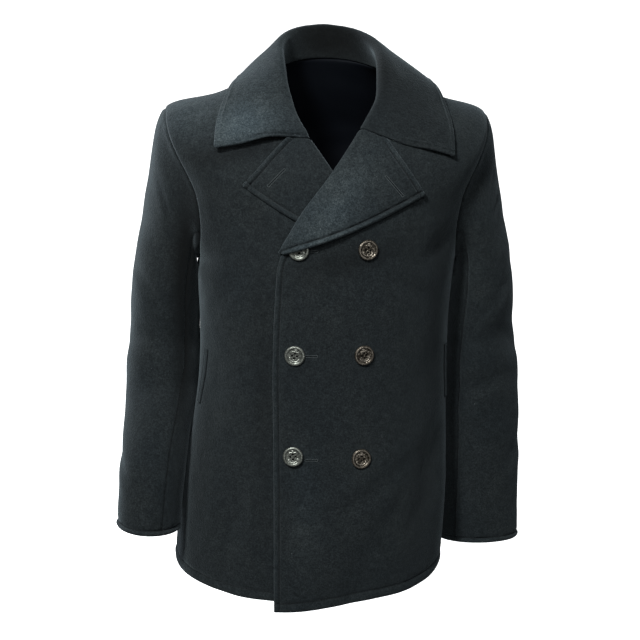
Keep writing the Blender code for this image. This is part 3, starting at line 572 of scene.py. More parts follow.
def sew(name, lines, tree, pitch=0.0040, length=0.0033, width=0.0008):
    """One piece with every stitch of these lines, each given as places and outward ways."""
    points, ways, edges = [], [], []
    for places, outward in lines:
        first = len(points)
        points += [tuple(p) for p in places]
        ways += [tuple(w) for w in outward]
        edges += [(i, i + 1) for i in range(first, len(points) - 1)]
    mesh = mesh_of(name, points, edges, [])
    layer = mesh.attributes.new("outward", "FLOAT_VECTOR", "POINT")
    layer.data.foreach_set("vector", np.array(ways, np.float32).reshape(-1))
    guide = placed(name + "_guide", mesh)
    sewing = guide.modifiers.new("sewing", "NODES")
    sewing.node_group = tree
    values = {"Pitch": pitch, "Stitch length": length, "Thread width": width}
    for item in tree.interface.items_tree:
        if item.in_out == "INPUT" and item.name in values:
            sewing[item.identifier] = values[item.name]
    bpy.context.view_layer.update()
    done = guide.evaluated_get(bpy.context.evaluated_depsgraph_get())
    made = bpy.data.meshes.new_from_object(done)
    bpy.data.objects.remove(guide)
    stitches = placed(name, made)
    made.shade_smooth()
    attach(stitches, "root")
    return stitches


STITCH_SINK = 0.0002  # how far the thread is pulled into the wool


def along_edge(skin, edge, distance, rows, first=0, last=None, sink=STITCH_SINK):
    """A line on the cloth's face at one distance from an edge that runs along rows or columns."""
    turn = (lambda a: a) if rows else (lambda a: np.swapaxes(a, 0, 1))
    field, points, normals = turn(skin.away[edge]), turn(skin.points), turn(skin.normals)
    if field[0].mean() > field[-1].mean():
        field, points, normals = field[::-1], points[::-1], normals[::-1]
    place, way = [], []
    for j in range(field.shape[1])[first:last]:
        k = int(np.argmax(field[:, j] >= distance))
        if k == 0:
            continue
        f = (distance - field[k - 1, j]) / (field[k, j] - field[k - 1, j])
        place.append(between(points[k - 1, j], points[k, j], f) - normals[k, j] * sink)
        way.append(normals[k, j])
    return np.array(place), np.array(way)


WOOL = melton_wool("melton")
LINING = lining_twill()
NAVY_THREAD = thread_material("navy_thread", (0.0030, 0.0040, 0.0050), (0.0100, 0.0130, 0.0150))
STITCHES = stitch_tree(NAVY_THREAD)

BACK_CREASES = (
    Crease(-0.060, -0.120, 0.150, 0.012, 8, 0.0016, 0.8),
    Crease(0.080, -0.150, 0.130, 0.014, -14, 0.0014, -0.6),
    Crease(-0.110, -0.340, 0.130, 0.013, -32, 0.0020, 0.9),
    Crease(0.120, -0.360, 0.120, 0.012, 34, 0.0018, -0.9),
    Crease(0.010, -0.420, 0.190, 0.015, 3, 0.0018, 0.7),
    Crease(-0.040, -0.600, 0.150, 0.014, 76, 0.0016, 0.3),
    Crease(0.100, -0.620, 0.160, 0.015, 98, 0.0017, -0.3),
)
heights = panel_heights()
half_turn = math.pi / 2 - SEAM_SLIT - ARMHOLE_BACK * armhole_reach(heights)
starts, ends = math.pi + half_turn, math.pi - half_turn
round_ = lay_out(at_heights(heights), heights, starts, ends, SEAM_STEPS, SEAM_STEPS, BACK_SPACING)
up = np.broadcast_to(heights[:, None], round_.shape)
grid = body(round_, up)
hang = worn(grid, BACK_CREASES, 11)
hang = hang * off_seam(round_, starts) * off_seam(round_, ends)
grid = grid + body_normal(round_, up) * hang[..., None]
back, skin = cloth(
    "back_cloth", grid, MELTON, -1,
    [(grid[0], HEMMED), (grid[-1], HIDDEN), (grid[:, 0], SEAMED), (grid[:, -1], SEAMED)],
    (WOOL, LINING), LINED_FROM, 21,
)
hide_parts("back")
sew("back_hem_stitches", [along_edge(skin, 0, HEMMED.sewn, True)], STITCHES)


# ---------------------------------------------------------------- fronts
# Two fronts of the same wool. The wearer's left one laps over the right one and buttons to it;
# both edges are rolled under and topstitched, and the hem is turned up and stitched higher up.

Edge = namedtuple("Edge", "z x")
FRONT_EDGE = {  # the wearer's left front is 1, the right one -1
    1: (
        Edge(-0.800, -0.0940), Edge(-0.540, -0.0924), Edge(-0.375, -0.0911), Edge(-0.295, -0.0874),
        Edge(-0.263, -0.0843), Edge(-0.246, -0.0786), Edge(-0.223, -0.0645), Edge(-0.200, -0.0510),
        Edge(-0.141, -0.0050), Edge(-0.077, 0.0405), Edge(-0.040, 0.0680),
    ),
    -1: (
        Edge(-0.790, 0.052), Edge(-0.540, 0.054), Edge(-0.393, 0.056), Edge(-0.300, 0.056),
        Edge(-0.235, 0.046), Edge(-0.180, 0.018), Edge(-0.143, -0.007), Edge(-0.088, -0.043),
        Edge(-0.040, -0.078),
    ),
}
FRONT_SPACING = 0.0036
LAP_LIFT = 0.0046  # the left front lies this far over the right one
LAP_ENDS = (0.085, 0.150)  # sideways, from full to none
LAP_FADES = (-0.150, -0.060)  # upwards, from full to none
LAPEL_LIFT = 0.0074  # and further out where the right lapel runs in below it
LAPEL_LIFT_AT = (-0.018, -0.185)
LAPEL_LIFT_ENDS = (0.020, 0.095)
HEM_DROOP = 0.0145  # the left front's lower corner hangs this much lower
HEM_DROOP_REACH = 0.16
BREAK = -0.246  # where the left front's edge turns out into the lapel
LEFT_CREASES = (
    Crease(0.064, -0.588, 0.160, 0.013, 34, 0.0026, 0.5),
    Crease(0.120, -0.645, 0.110, 0.012, 52, 0.0018, -0.4),
    Crease(0.150, -0.385, 0.120, 0.013, 72, 0.0014, 0.5),
    Crease(0.100, -0.300, 0.090, 0.012, -30, 0.0012, 0.8),
    Crease(0.000, -0.475, 0.032, 0.0040, -6, 0.0007, 0.0),
    Crease(-0.064, -0.328, 0.030, 0.0035, -37, 0.0006, 0.0),
    Crease(0.030, -0.700, 0.120, 0.014, 80, 0.0016, 0.3),
    Crease(0.165, -0.235, 0.075, 0.010, 42, 0.0017, 0.6),
    Crease(0.095, -0.215, 0.085, 0.012, -52, 0.0010, 0.9),
    Crease(-0.030, -0.640, 0.150, 0.015, 88, 0.0012, 0.2),
    Crease(0.128, -0.590, 0.090, 0.010, 82, 0.0030, 0.3),
)
RIGHT_CREASES = (
    Crease(-0.101, -0.211, 0.095, 0.010, -42, 0.0024, 0.9),
    Crease(-0.120, -0.230, 0.024, 0.0040, -25, 0.0008, 0.0),
    Crease(-0.150, -0.300, 0.110, 0.012, 62, 0.0015, 0.5),
    Crease(-0.172, -0.450, 0.150, 0.013, 82, 0.0013, 0.3),
    Crease(-0.130, -0.560, 0.120, 0.013, -62, 0.0014, 0.6),
    Crease(-0.160, -0.680, 0.120, 0.014, 86, 0.0016, 0.2),
    Crease(-0.115, -0.400, 0.080, 0.012, -20, 0.0010, 0.9),
)
# Painted light and shade on the left front: a painted highlight on a broad fold low by the edge, and
# painted shade beside the sleeve, in a low crease and under the lapel
LEFT_PAINTED_LIGHT = (
    PaintedLight(-0.049, -0.625, 90, 0.090, 0.022, 0.45),
    PaintedLight(0.152, -0.370, 90, 0.190, 0.016, -0.60),
    PaintedLight(0.128, -0.590, 82, 0.075, 0.016, -0.45),
    PaintedLight(0.025, -0.252, 14, 0.090, 0.022, -0.45),
)
# Painted light and shade on the right front: painted light high on the shoulder, and painted shade beside
# the sleeve, beside the left front's edge that laps over it, and under the collar's end
RIGHT_PAINTED_LIGHT = (
    PaintedLight(-0.205, -0.050, 15, 0.060, 0.034, 1.20),
    PaintedLight(-0.198, -0.270, 86, 0.095, 0.024, -0.85),
    PaintedLight(-0.208, -0.470, 90, 0.190, 0.018, -0.75),
    PaintedLight(-0.106, -0.450, 90, 0.200, 0.018, -0.28),
    PaintedLight(-0.140, -0.106, 10, 0.070, 0.016, -0.50),
)


def round_at(x, up, back=False):
    """How far round the front of a ring, or round its back, lies the place x."""
    turn = np.zeros(np.broadcast(x, up).shape)
    width, square = smooth(BODY, "half_width", up), smooth(BODY, "square", up)
    side_x, front_x = smooth(BODY, "side_x", up), smooth(BODY, "front_x", up)
    for _ in range(8):
        shift = side_x + (front_x - side_x) * np.cos(turn) ** 1.5 * (not back)
        ratio = np.clip((x - shift) / width, -0.9999, 0.9999)
        turn = np.arcsin(np.sign(ratio) * np.abs(ratio) ** (square / 2))
    return math.pi - turn if back else turn


def on_body(x, z, back=False):
    """The place on the body that shows at x, z from straight ahead, or from behind."""
    low, high = np.zeros(np.shape(x)), np.full(np.shape(x), NECK)
    for _ in range(26):
        middle = (low + high) / 2
        below = plain_body(round_at(x, middle, back), middle)[..., 2] < z
        low, high = np.where(below, middle, low), np.where(below, high, middle)
    return round_at(x, middle, back), middle


def front_point(x, z, lift):
    """The place a lift out from the body's front that shows at x, z from straight ahead."""
    turn, height = on_body(x, z)
    return body(turn, height, lift)


def edge_round(edge, height):
    """How far round a front starts, at each height."""
    turn = np.zeros(np.shape(height))
    for _ in range(12):
        turn = round_at(smooth(edge, "x", plain_body(turn, height)[..., 2]), height)
    return turn


def over_lift(x, z):
    """How far the left front lies out, over the right front and the right lapel."""
    away = np.hypot(x - LAPEL_LIFT_AT[0], z - LAPEL_LIFT_AT[1])
    lap = LAP_LIFT * fade(x, *LAP_ENDS) * fade(z, *LAP_FADES)
    return lap + LAPEL_LIFT * fade(away, *LAPEL_LIFT_ENDS)


def front_panel(side, creases, seed):
    """One front's grid of points, from its front edge to its side seam and armhole."""
    heights = panel_heights()
    start = edge_round(FRONT_EDGE[side], heights)
    end = side * (math.pi / 2 - SEAM_SLIT - ARMHOLE_FRONT * armhole_reach(heights))
    round_ = lay_out(at_heights(heights), heights, start, end, SEWN_STEPS, SEAM_STEPS, FRONT_SPACING)
    up = np.broadcast_to(heights[:, None], round_.shape)
    at = plain_body(round_, up)
    lift = over_lift(at[..., 0], at[..., 2]) if side > 0 else 0
    grid = body(round_, up, lift)
    hang = worn(grid, creases, seed) * off_seam(round_, end)
    grid = grid + body_normal(round_, up) * hang[..., None]
    if side > 0:
        near_edge = fade(at[..., 0] - at[:, :1, 0], 0, HEM_DROOP_REACH)
        grid[..., 2] -= HEM_DROOP * near_edge * fade(up, 0, HEM_DROOP_REACH)
    return grid


def front_edges(grid):
    return [(grid[0], HEMMED), (grid[:, 0], TURNED), (grid[-1], HIDDEN), (grid[:, -1], SEAMED)]


right_grid = front_panel(-1, RIGHT_CREASES, 31)
front_right, right_skin = cloth(
    "front_right_cloth", right_grid, MELTON, -1, front_edges(right_grid),
    (WOOL, LINING), LINED_FROM, 31, RIGHT_PAINTED_LIGHT,
)
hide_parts("front_right")
sew("front_right_stitches", [along_edge(right_skin, 0, HEMMED.sewn, True, 12)], STITCHES)

left_grid = front_panel(1, LEFT_CREASES, 41)
front_left, left_skin = cloth(
    "front_left_cloth", left_grid, MELTON, 1, front_edges(left_grid),
    (WOOL, LINING), LINED_FROM, 41, LEFT_PAINTED_LIGHT,
)
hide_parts("front_left")
below_break = int(np.sum(left_grid[:, 0, 2] < BREAK + 0.004))
sew(
    "front_left_stitches",
    [
        along_edge(left_skin, 0, HEMMED.sewn, True, 10),
        along_edge(left_skin, 1, TURNED.sewn, False, 10, below_break),
    ],
    STITCHES,
)


# ---------------------------------------------------------------- pocket welts
# Each slanted pocket has a narrow stitched welt of the same wool set in its mouth. It is
# topstitched all round, with a bar tack at each end to stop it tearing.

WELT_TOP = (math.radians(70), 0.340)  # how far round the body, and how far up it
WELT_BOTTOM = (math.radians(75), 0.254)
WELT_WIDTH = 0.014
WELT_THICK = 0.0016
WELT_LIFT = 0.0031  # from the front's middle to the welt's
WELT_STEPS = np.array((0, 0.04, 0.1, 0.18))  # as parts of its width
WELTED = Finish(0.0010, 0.0003, 0.0035, 0.0004)
for side, name in ((1, "pocket_welt_left"), (-1, "pocket_welt_right")):
    creases = LEFT_CREASES if side > 0 else RIGHT_CREASES
    across = spaced([1.0], WELT_STEPS, WELT_STEPS, 0.05)[0] - 0.5
    f, across = np.meshgrid(np.linspace(0, 1, 110), across, indexing="ij")
    round_ = WELT_BOTTOM[0] + (WELT_TOP[0] - WELT_BOTTOM[0]) * f + across * WELT_WIDTH / BODY[1].front
    up = WELT_BOTTOM[1] + (WELT_TOP[1] - WELT_BOTTOM[1]) * f
    grid = body(side * round_, up, WELT_LIFT)
    hang = creased(grid[..., 0], grid[..., 2], creases)
    hang = hang + 0.0010 * uneven(grid, 0.11, 36 + 5 * side)
    grid = grid + body_normal(side * round_, up) * hang[..., None]
    borders = [grid[0], grid[:, 0], grid[-1], grid[:, -1]]
    welt, skin = cloth(name + "_cloth", grid, WELT_THICK, side, [(b, WELTED) for b in borders], (WOOL,))
    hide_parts(name)
    lines = [along_edge(skin, edge, WELTED.sewn, False, 4, -4, 0.0001) for edge in (1, 3)]
    for row in (5, -6):
        lines.append((skin.points[row, 2:-2], skin.normals[row, 2:-2]))
    sew(name + "_stitches", lines, STITCHES, 0.0030, 0.0026, 0.0007)


# ---------------------------------------------------------------- sleeves
# Two-piece sleeves set into the armholes: a wide top piece and a narrow under piece. The cap is
# eased in so that it stands a little proud of its seam, and the cuff is turned and stitched.

# Rings of a sleeve, from below its cap to the cuff: how far along it, its outer and inner sides,
# and half its depth
Cuff = namedtuple("Cuff", "along outer_x outer_y outer_z inner_x inner_y inner_z half_depth")
SLEEVES = {}
SLEEVES[-1] = (
    Cuff(0.20, 0.266, 0.020, -0.165, 0.1972, 0.028, -0.297, 0.080),
    Cuff(0.34, 0.285, 0.032, -0.262, 0.1935, 0.034, -0.337, 0.076),
    Cuff(0.57, 0.3025, 0.030, -0.425, 0.1943, 0.036, -0.438, 0.068),
    Cuff(0.78, 0.3122, -0.034, -0.553, 0.2165, -0.040, -0.559, 0.060),
    Cuff(1.00, 0.3205, -0.060, -0.664, 0.2300, -0.070, -0.671, 0.052),
)
SLEEVES[1] = (
    Cuff(0.20, 0.264, 0.014, -0.168, 0.1990, 0.022, -0.299, 0.080),
    Cuff(0.34, 0.282, 0.014, -0.264, 0.1920, 0.022, -0.339, 0.076),
    Cuff(0.57, 0.296, 0.006, -0.430, 0.1855, 0.030, -0.445, 0.066),
    Cuff(0.78, 0.302, -0.002, -0.575, 0.1865, 0.030, -0.580, 0.052),
    Cuff(1.00, 0.3005, -0.014, -0.722, 0.1850, 0.026, -0.730, 0.041),
)
CAP_HANDLE = 0.085  # how strongly the sleeve leaves its seam, at the cap
UNDERARM_HANDLE = 0.030  # and under the arm,
UNDERARM_TILT = math.radians(55)  # where it leaves outwards by this much
SLEEVE_SEAM = 120  # degrees round from the sleeve's top to its two seams
SEAM_TRIM = 0.02  # degrees that each piece stops short of them
ARM_CLOSE = 0.0040  # the sleeve swells this much towards the body below the armpit
SLEEVE_LENGTH = 0.56
SLEEVE_RADIUS = 0.075
SLEEVE_SPACING = 0.0036
# Where the arm's bend folds the cloth: degrees round the sleeve and part of its length
SleeveFold = namedtuple("SleeveFold", "round along width_round width_along depth")
SLEEVE_FOLDS = (
    SleeveFold(60, 0.50, 70, 0.035, 0.0045),
    SleeveFold(95, 0.62, 60, 0.030, 0.0040),
    SleeveFold(20, 0.28, 60, 0.040, 0.0030),
    SleeveFold(250, 0.55, 60, 0.035, 0.0035),
)
# On a plan of the sleeve laid open: x goes round it from its top, z down it from the armhole
LEFT_SLEEVE_CREASES = (
    Crease(0.070, 0.090, 0.060, 0.0080, 35, 0.0020, 1.0),
    Crease(0.055, 0.115, 0.050, 0.0070, 20, 0.0016, 1.0),
    Crease(0.080, 0.230, 0.120, 0.0110, 22, 0.0022, 1.2),
    Crease(0.040, 0.300, 0.130, 0.0120, -14, 0.0022, 1.0),
    Crease(0.095, 0.345, 0.090, 0.0100, 18, 0.0018, 1.0),
    Crease(0.030, 0.440, 0.110, 0.0120, 28, 0.0018, 0.8),
    Crease(0.060, 0.500, 0.060, 0.0080, 40, 0.0016, 0.8),
    Crease(-0.080, 0.260, 0.120, 0.0120, -20, 0.0020, 1.0),
    Crease(-0.100, 0.350, 0.110, 0.0110, 12, 0.0018, 1.0),
)
RIGHT_SLEEVE_CREASES = (
    Crease(0.075, 0.100, 0.070, 0.0090, 30, 0.0018, 1.0),
    Crease(0.070, 0.220, 0.120, 0.0110, 18, 0.0020, 1.2),
    Crease(0.040, 0.290, 0.120, 0.0120, -16, 0.0020, 1.0),
    Crease(0.085, 0.360, 0.100, 0.0110, 20, 0.0018, 1.0),
    Crease(0.020, 0.450, 0.120, 0.0120, 24, 0.0016, 0.8),
    Crease(-0.080, 0.270, 0.120, 0.0120, -18, 0.0020, 1.0),
    Crease(-0.095, 0.360, 0.110, 0.0110, 14, 0.0018, 1.0),
)


def armhole(angle):
    """The armhole's place on the body: 0 at the shoulder's tip, 90 in front, 180 at the armpit."""
    wide = np.where(np.sin(angle) > 0, ARMHOLE_FRONT, ARMHOLE_BACK)
    return math.pi / 2 - wide * np.sin(angle), ARMHOLE_MIDDLE + ARMHOLE_HALF * np.cos(angle)


def sleeve_point(side, angle, along):
    """A point of a sleeve: angle as round the armhole, along from 0 at the seam to 1."""
    table = SLEEVES[side]
    angle, along = np.broadcast_arrays(angle, along)
    turn, height = armhole(angle)
    start = body(side * turn, height)
    ahead_turn, ahead_height = armhole(angle + NUDGE)
    edge_way = unit(body(side * ahead_turn, ahead_height) - start)
    normal = body_normal(side * turn, height)
    into = unit(np.cross(normal, edge_way)) * side
    below = (1 - np.cos(angle)) / 2
    tilt = (UNDERARM_TILT * below**2)[..., None]
    stops = [start + into * (0.00015 + MELTON / 2 * np.sin(tilt))]
    leaving = into * np.cos(tilt) + normal * np.sin(tilt)
    for row in table:
        outer = np.array([side * row.outer_x, row.outer_y, row.outer_z])
        inner = np.array([side * row.inner_x, row.inner_y, row.inner_z])
        across = outer - inner
        forward = unit(np.array([across[1], -across[0], 0.0]) * side)
        ring = np.cos(angle)[..., None] * across / 2 + np.sin(angle)[..., None] * forward * row.half_depth
        stops.append((outer + inner) / 2 + ring)
    places = np.array([0.0] + [row.along for row in table])
    handle = between(CAP_HANDLE, UNDERARM_HANDLE, below)
    slopes = [leaving * handle[..., None] / places[1]]
    for i in range(1, len(stops) - 1):
        slopes.append((stops[i + 1] - stops[i - 1]) / (places[i + 1] - places[i - 1]))
    slopes.append((stops[-1] - stops[-2]) / (places[-1] - places[-2]))
    at = np.zeros(angle.shape + (3,))
    for i in range(len(stops) - 1):
        span = places[i + 1] - places[i]
        f = np.expand_dims((along - places[i]) / span, -1)
        stretch = faired(stops[i], stops[i + 1], slopes[i], slopes[i + 1], span, f)
        at = np.where((f >= 0) & (f <= 1), stretch, at)
    return at


def sleeve_folds(angle, along):
    """How deep the folds of the bent arm are."""
    total = 0
    for fold in SLEEVE_FOLDS:
        turn = np.degrees(np.arccos(np.cos(angle - math.radians(fold.round))))
        off = (along - fold.along) / fold.width_along
        total = total + fold.depth * np.exp(-((turn / fold.width_round) ** 2) - off**2)
    return total


def sleeve_grid(side, first, last, creases, seed):
    """The grid of points of one piece of a sleeve, between two seams in degrees round it."""
    width = SLEEVE_RADIUS * math.radians(last - first)
    across = spaced([width], SEAM_STEPS, SEAM_STEPS, SLEEVE_SPACING)[0] / width
    down = spaced([SLEEVE_LENGTH], SEAM_STEPS, SEWN_STEPS, SLEEVE_SPACING)[0] / SLEEVE_LENGTH
    angle = np.radians(between(first + SEAM_TRIM, last - SEAM_TRIM, across))[None, :] + 0 * down[:, None]
    along = down[:, None] + 0 * angle
    at = sleeve_point(side, angle, along)
    axis = (at + sleeve_point(side, angle + math.pi, along)) / 2
    outward = unit(at - axis)
    depth = sleeve_folds(angle, along) * fade(1 - along, 0.72, 0.86)
    plan_x = (np.degrees(angle) + 180) % 360 - 180
    plan_x = np.radians(plan_x) * SLEEVE_RADIUS
    hang = creased(plan_x, along * SLEEVE_LENGTH, creases)
    hang = hang + 0.0011 * uneven(at, 0.09, seed) + 0.0003 * uneven(at, 0.03, seed + 1)
    eased = 0.0007 * uneven(at, 0.016, seed + 2) * fade(along, 0.012, 0.07) * (1 - fade(along, 0, 0.012))
    hang = (hang * (1 - fade(along, 0.02, 0.12)) + eased) * (1 - 0.5 * fade(1 - along, 0, 0.03))
    inside = (np.degrees(np.arccos(-np.cos(angle))) / 65) ** 2 + ((along - 0.24) / 0.11) ** 2
    hang = hang + ARM_CLOSE * np.exp(-inside) * (1 - fade(along, 0.0, 0.12))
    return at + outward * (hang - depth)[..., None]


# Painted shade on each sleeve's inner side next to the body, and painted light on the right sleeve's cap
LEFT_SLEEVE_PAINTED_LIGHT = (PaintedLight(0.168, -0.360, 90, 0.200, 0.020, -0.60),)
RIGHT_SLEEVE_PAINTED_LIGHT = (
    PaintedLight(-0.225, -0.055, 15, 0.050, 0.030, 1.00),
    PaintedLight(-0.203, -0.270, 88, 0.110, 0.028, -0.85),
    PaintedLight(-0.212, -0.480, 90, 0.230, 0.020, -0.75),
)
for side, name, creases, painted_lights, seed in (
    (1, "sleeve_left", LEFT_SLEEVE_CREASES, LEFT_SLEEVE_PAINTED_LIGHT, 51),
    (-1, "sleeve_right", RIGHT_SLEEVE_CREASES, RIGHT_SLEEVE_PAINTED_LIGHT, 61),
):
    for part, first, last, area in (
        ("top", -SLEEVE_SEAM, SLEEVE_SEAM, 0.145),
        ("under", SLEEVE_SEAM, 360 - SLEEVE_SEAM, 0.058),
    ):
        grid = sleeve_grid(side, first, last, creases, seed)
        edges = [(grid[-1], TURNED), (grid[0], SEAMED), (grid[:, 0], SEAMED), (grid[:, -1], SEAMED)]
        sleeve, skin = cloth(
            f"{name}_{part}_cloth", grid, MELTON, side, edges,
            (WOOL, LINING), LINED_FROM, seed, painted_lights,
        )
        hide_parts(f"{name}_{part}")
        sew(f"{name}_{part}_stitches", [along_edge(skin, 0, TURNED.sewn, True, 2, -2)], STITCHES)


# ---------------------------------------------------------------- lapels
# Each front's top edge is turned out over the chest as a lapel of double wool, the left one on
# top. It folds softly at its roll line and its outer edges are topstitched like the front's.

DOUBLE = 0.0040  # turned cloth on cloth
# A lapel's corners as x, z seen from ahead, how far its outer edge bows, and how high it lies
Lapel = namedtuple("Lapel", "roll_low edge_low tip notch gorge bow lift_low lift_high")
LAPELS = {}
LAPELS[1] = Lapel(
    roll_low=(-0.0786, -0.2460), edge_low=(-0.0725, -0.2465), tip=(0.1244, -0.1680),
    notch=(0.0734, -0.0915), gorge=(0.0410, -0.0785), bow=0.007, lift_low=0.0096, lift_high=0.0045,
)
LAPELS[-1] = Lapel(
    roll_low=(0.0080, -0.1640), edge_low=(-0.0330, -0.2160), tip=(-0.1333, -0.1520),
    notch=(-0.0696, -0.0893), gorge=(-0.0435, -0.0905), bow=0.003, lift_low=0.0054, lift_high=0.0049,
)
LAPEL_FULL = 0.14  # part of its length up which a lapel lies at its low lift
LAPEL_FLAT = 0.50  # and from which it lies at its high one
CURL_START = -0.0044  # the fold starts this far behind the front's edge
FOLD_TURNS = (180, 150, 120, 95)
LAPEL_LENGTH = 0.21
LAPEL_SPACING = 0.0030
FOLD_ROWS = 12  # rows of points round the fold
LAPEL_CORNER = 0.0045
LAPEL_CREASES = (
    Crease(0.060, -0.150, 0.080, 0.012, 60, 0.0010, 0.8),
    Crease(-0.070, -0.160, 0.070, 0.012, -55, 0.0010, 0.8),
)
# Painted light along the left lapel's roll, where it faces the light
LAPEL_PAINTED_LIGHT = (PaintedLight(-0.016, -0.192, 53, 0.095, 0.040, 1.75),)


def lapel_notch(shape):
    """How far along a lapel's top, from the roll line to the tip, its notch is."""
    gorge = math.dist(shape.gorge, shape.notch)
    return gorge / (gorge + math.dist(shape.notch, shape.tip))


def lapel_plan(side, a, b):
    """A lapel seen from ahead: a goes up the roll line, b from it to the outer edge."""
    shape = LAPELS[side]
    z = between(shape.roll_low[1], shape.gorge[1], a)
    roll = np.stack([smooth(FRONT_EDGE[side], "x", z), z], -1)
    a, b = a[..., None], b[..., None]
    outer = between(shape.edge_low, shape.tip, a) - shape.bow * np.sin(math.pi * a) * np.array([0, 1])
    notch_at = lapel_notch(shape)
    gorge_part = between(shape.gorge, shape.notch, np.clip(b / notch_at, 0, 1))
    tip_part = between(shape.notch, shape.tip, np.clip((b - notch_at) / (1 - notch_at), 0, 1))
    top = np.where(b < notch_at, gorge_part, tip_part)
    low = between(shape.roll_low, shape.edge_low, b)
    corners = between(low, between(shape.gorge, shape.tip, b), a)
    return between(roll, outer, b) + between(low, top, a) - corners


def lapel_fold(side, a, turns, fit):
    """The fold at the roll line, and how far the flat part starts from it, as parts of its width."""
    shape = LAPELS[side]
    lift = shape.lift_high + (shape.lift_low - shape.lift_high) * fade(a, LAPEL_FULL, LAPEL_FLAT)
    roll = lapel_plan(side, a, 0 * a)
    width = np.linalg.norm(lapel_plan(side, a, 0 * a + 1) - roll, axis=-1)
    reach = lift
    if fit:
        lift = between(lift, MELTON / 2 + DOUBLE / 2 + 0.0004, fade(a, 0, 0.10) * (side > 0))
        reach = np.minimum(lift, 0.7 * width - CURL_START)
    over = over_lift(roll[:, 0], roll[:, 1]) if side > 0 else 0 * a
    edge = front_point(roll[:, 0], roll[:, 1], over)
    normal = unit(front_point(roll[:, 0], roll[:, 1], over + NUDGE) - edge)
    away = lapel_plan(side, a, 0 * a + 0.25)
    away = front_point(away[:, 0], away[:, 1], lift) - edge
    away = unit(away - normal * np.sum(away * normal, -1, keepdims=True))
    fold = []
    for turn in np.radians(turns):
        along = CURL_START + reach * (1 + math.cos(turn))
        fold.append(edge + away * along[:, None] + normal * (lift * math.sin(turn))[:, None])
    return np.stack(fold, 1), lift, (CURL_START + reach + 0.0006) / width


def lapel_flat(side, a, b, lift):
    """The part of a lapel that lies on its front, at its lift over it."""
    plan = lapel_plan(side, a[:, None] + 0 * b, b)
    x, z = plan[..., 0], plan[..., 1]
    return front_point(x, z, lift[:, None] + (over_lift(x, z) if side > 0 else 0))


def lapel_end(side):
    """The last two lines across a lapel at its top, which the collar's end meets."""
    shape = LAPELS[side]
    a = np.array((11 / 12, 1.0))
    fold, lift, _ = lapel_fold(side, a, FOLD_TURNS, False)
    first = np.full((2, 1), lapel_notch(shape) / 2)
    return np.concatenate([fold, lapel_flat(side, a, first, lift)], 1)[::-1]


def rounded_corner(grid, radius, end_row, end_column):
    """A grid with one of its corners rounded off, its points moved along the surface."""
    grid = grid[:: -1 if end_row else 1, :: -1 if end_column else 1]
    run_u, run_v = run_along(grid), run_along(grid, 1)
    rows, columns = int(np.sum(run_u[:, 0] < radius)), int(np.sum(run_v[0] < radius))
    done = grid.copy()
    u_axis, v_axis = run_u[: rows + 2, 0], run_v[0, : columns + 2]
    for i in range(rows):
        for j in range(columns):
            p, q = 1 - u_axis[i] / radius, 1 - v_axis[j] / radius
            u = radius * (1 - p * math.sqrt(1 - q * q / 2))
            v = radius * (1 - q * math.sqrt(1 - p * p / 2))
            m = min(int(np.searchsorted(u_axis, u)) - 1, rows) if u > 0 else 0
            n = min(int(np.searchsorted(v_axis, v)) - 1, columns) if v > 0 else 0
            f = (u - u_axis[m]) / (u_axis[m + 1] - u_axis[m])
            g = (v - v_axis[n]) / (v_axis[n + 1] - v_axis[n])
            low = between(grid[m, n], grid[m, n + 1], g)
            done[i, j] = between(low, between(grid[m + 1, n], grid[m + 1, n + 1], g), f)
    return done[:: -1 if end_row else 1, :: -1 if end_column else 1]


lapels = {}
for side, name, seed in ((-1, "lapel_right", 71), (1, "lapel_left", 81)):
    shape = LAPELS[side]
    a = spaced([LAPEL_LENGTH], SEAM_STEPS, SEWN_STEPS, LAPEL_SPACING)[0] / LAPEL_LENGTH
    fold, lift, skip = lapel_fold(side, a, np.linspace(180, 92, FOLD_ROWS), True)
    fine = np.linspace(0, 1, 90)[None, :]
    b = skip[:, None] + (1 - skip[:, None]) * fine
    run = run_along(lapel_flat(side, a, b, lift), 1)
    places = spaced(run[:, -1], np.array((0, 0.0012)), SEWN_STEPS, LAPEL_SPACING)
    b = np.array([np.interp(p, r, t) for p, r, t in zip(places, run, b)])
    grid = np.concatenate([fold, lapel_flat(side, a, b, lift)], 1)
    grid = rounded_corner(grid, LAPEL_CORNER, True, True)
    soft = 0.0006 * uneven(grid, 0.05, seed) + creased(grid[..., 0], grid[..., 2], LAPEL_CREASES)
    soft = soft * fade(-np.arange(grid.shape[1]), -24, -12)[None, :]
    grid = grid + facing_of(grid, side) * soft[..., None]
    notch_column = FOLD_ROWS + int(np.argmin(np.abs(b[-1] - lapel_notch(shape))))
    edges = [
        (grid[:, -1], TURNED), (grid[-1, notch_column:], TURNED), (grid[-1, : notch_column + 1], SEAMED),
        (grid[:, 0], HIDDEN), (grid[0], HIDDEN),
    ]
    painted_lights = LAPEL_PAINTED_LIGHT if side > 0 else ()
    lapel, skin = cloth(name + "_cloth", grid, DOUBLE, side, edges, (WOOL,), None, seed, painted_lights)
    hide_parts(name)
    lapels[name] = lapel
    area = 0.0176 if side > 0 else 0.0114
    lines = [
        along_edge(skin, 0, TURNED.sewn, False, 3, -11),
        along_edge(skin, 1, TURNED.sewn, True, notch_column + 1, -11),
    ]
    sew(name + "_stitches", lines, STITCHES)


# ---------------------------------------------------------------- collar
# The collar is double wool, sewn round the neck. It stands up, rolls over and its leaf lies on the
# back, the shoulders and the tops of the fronts, where its ends are sewn to the lapels.

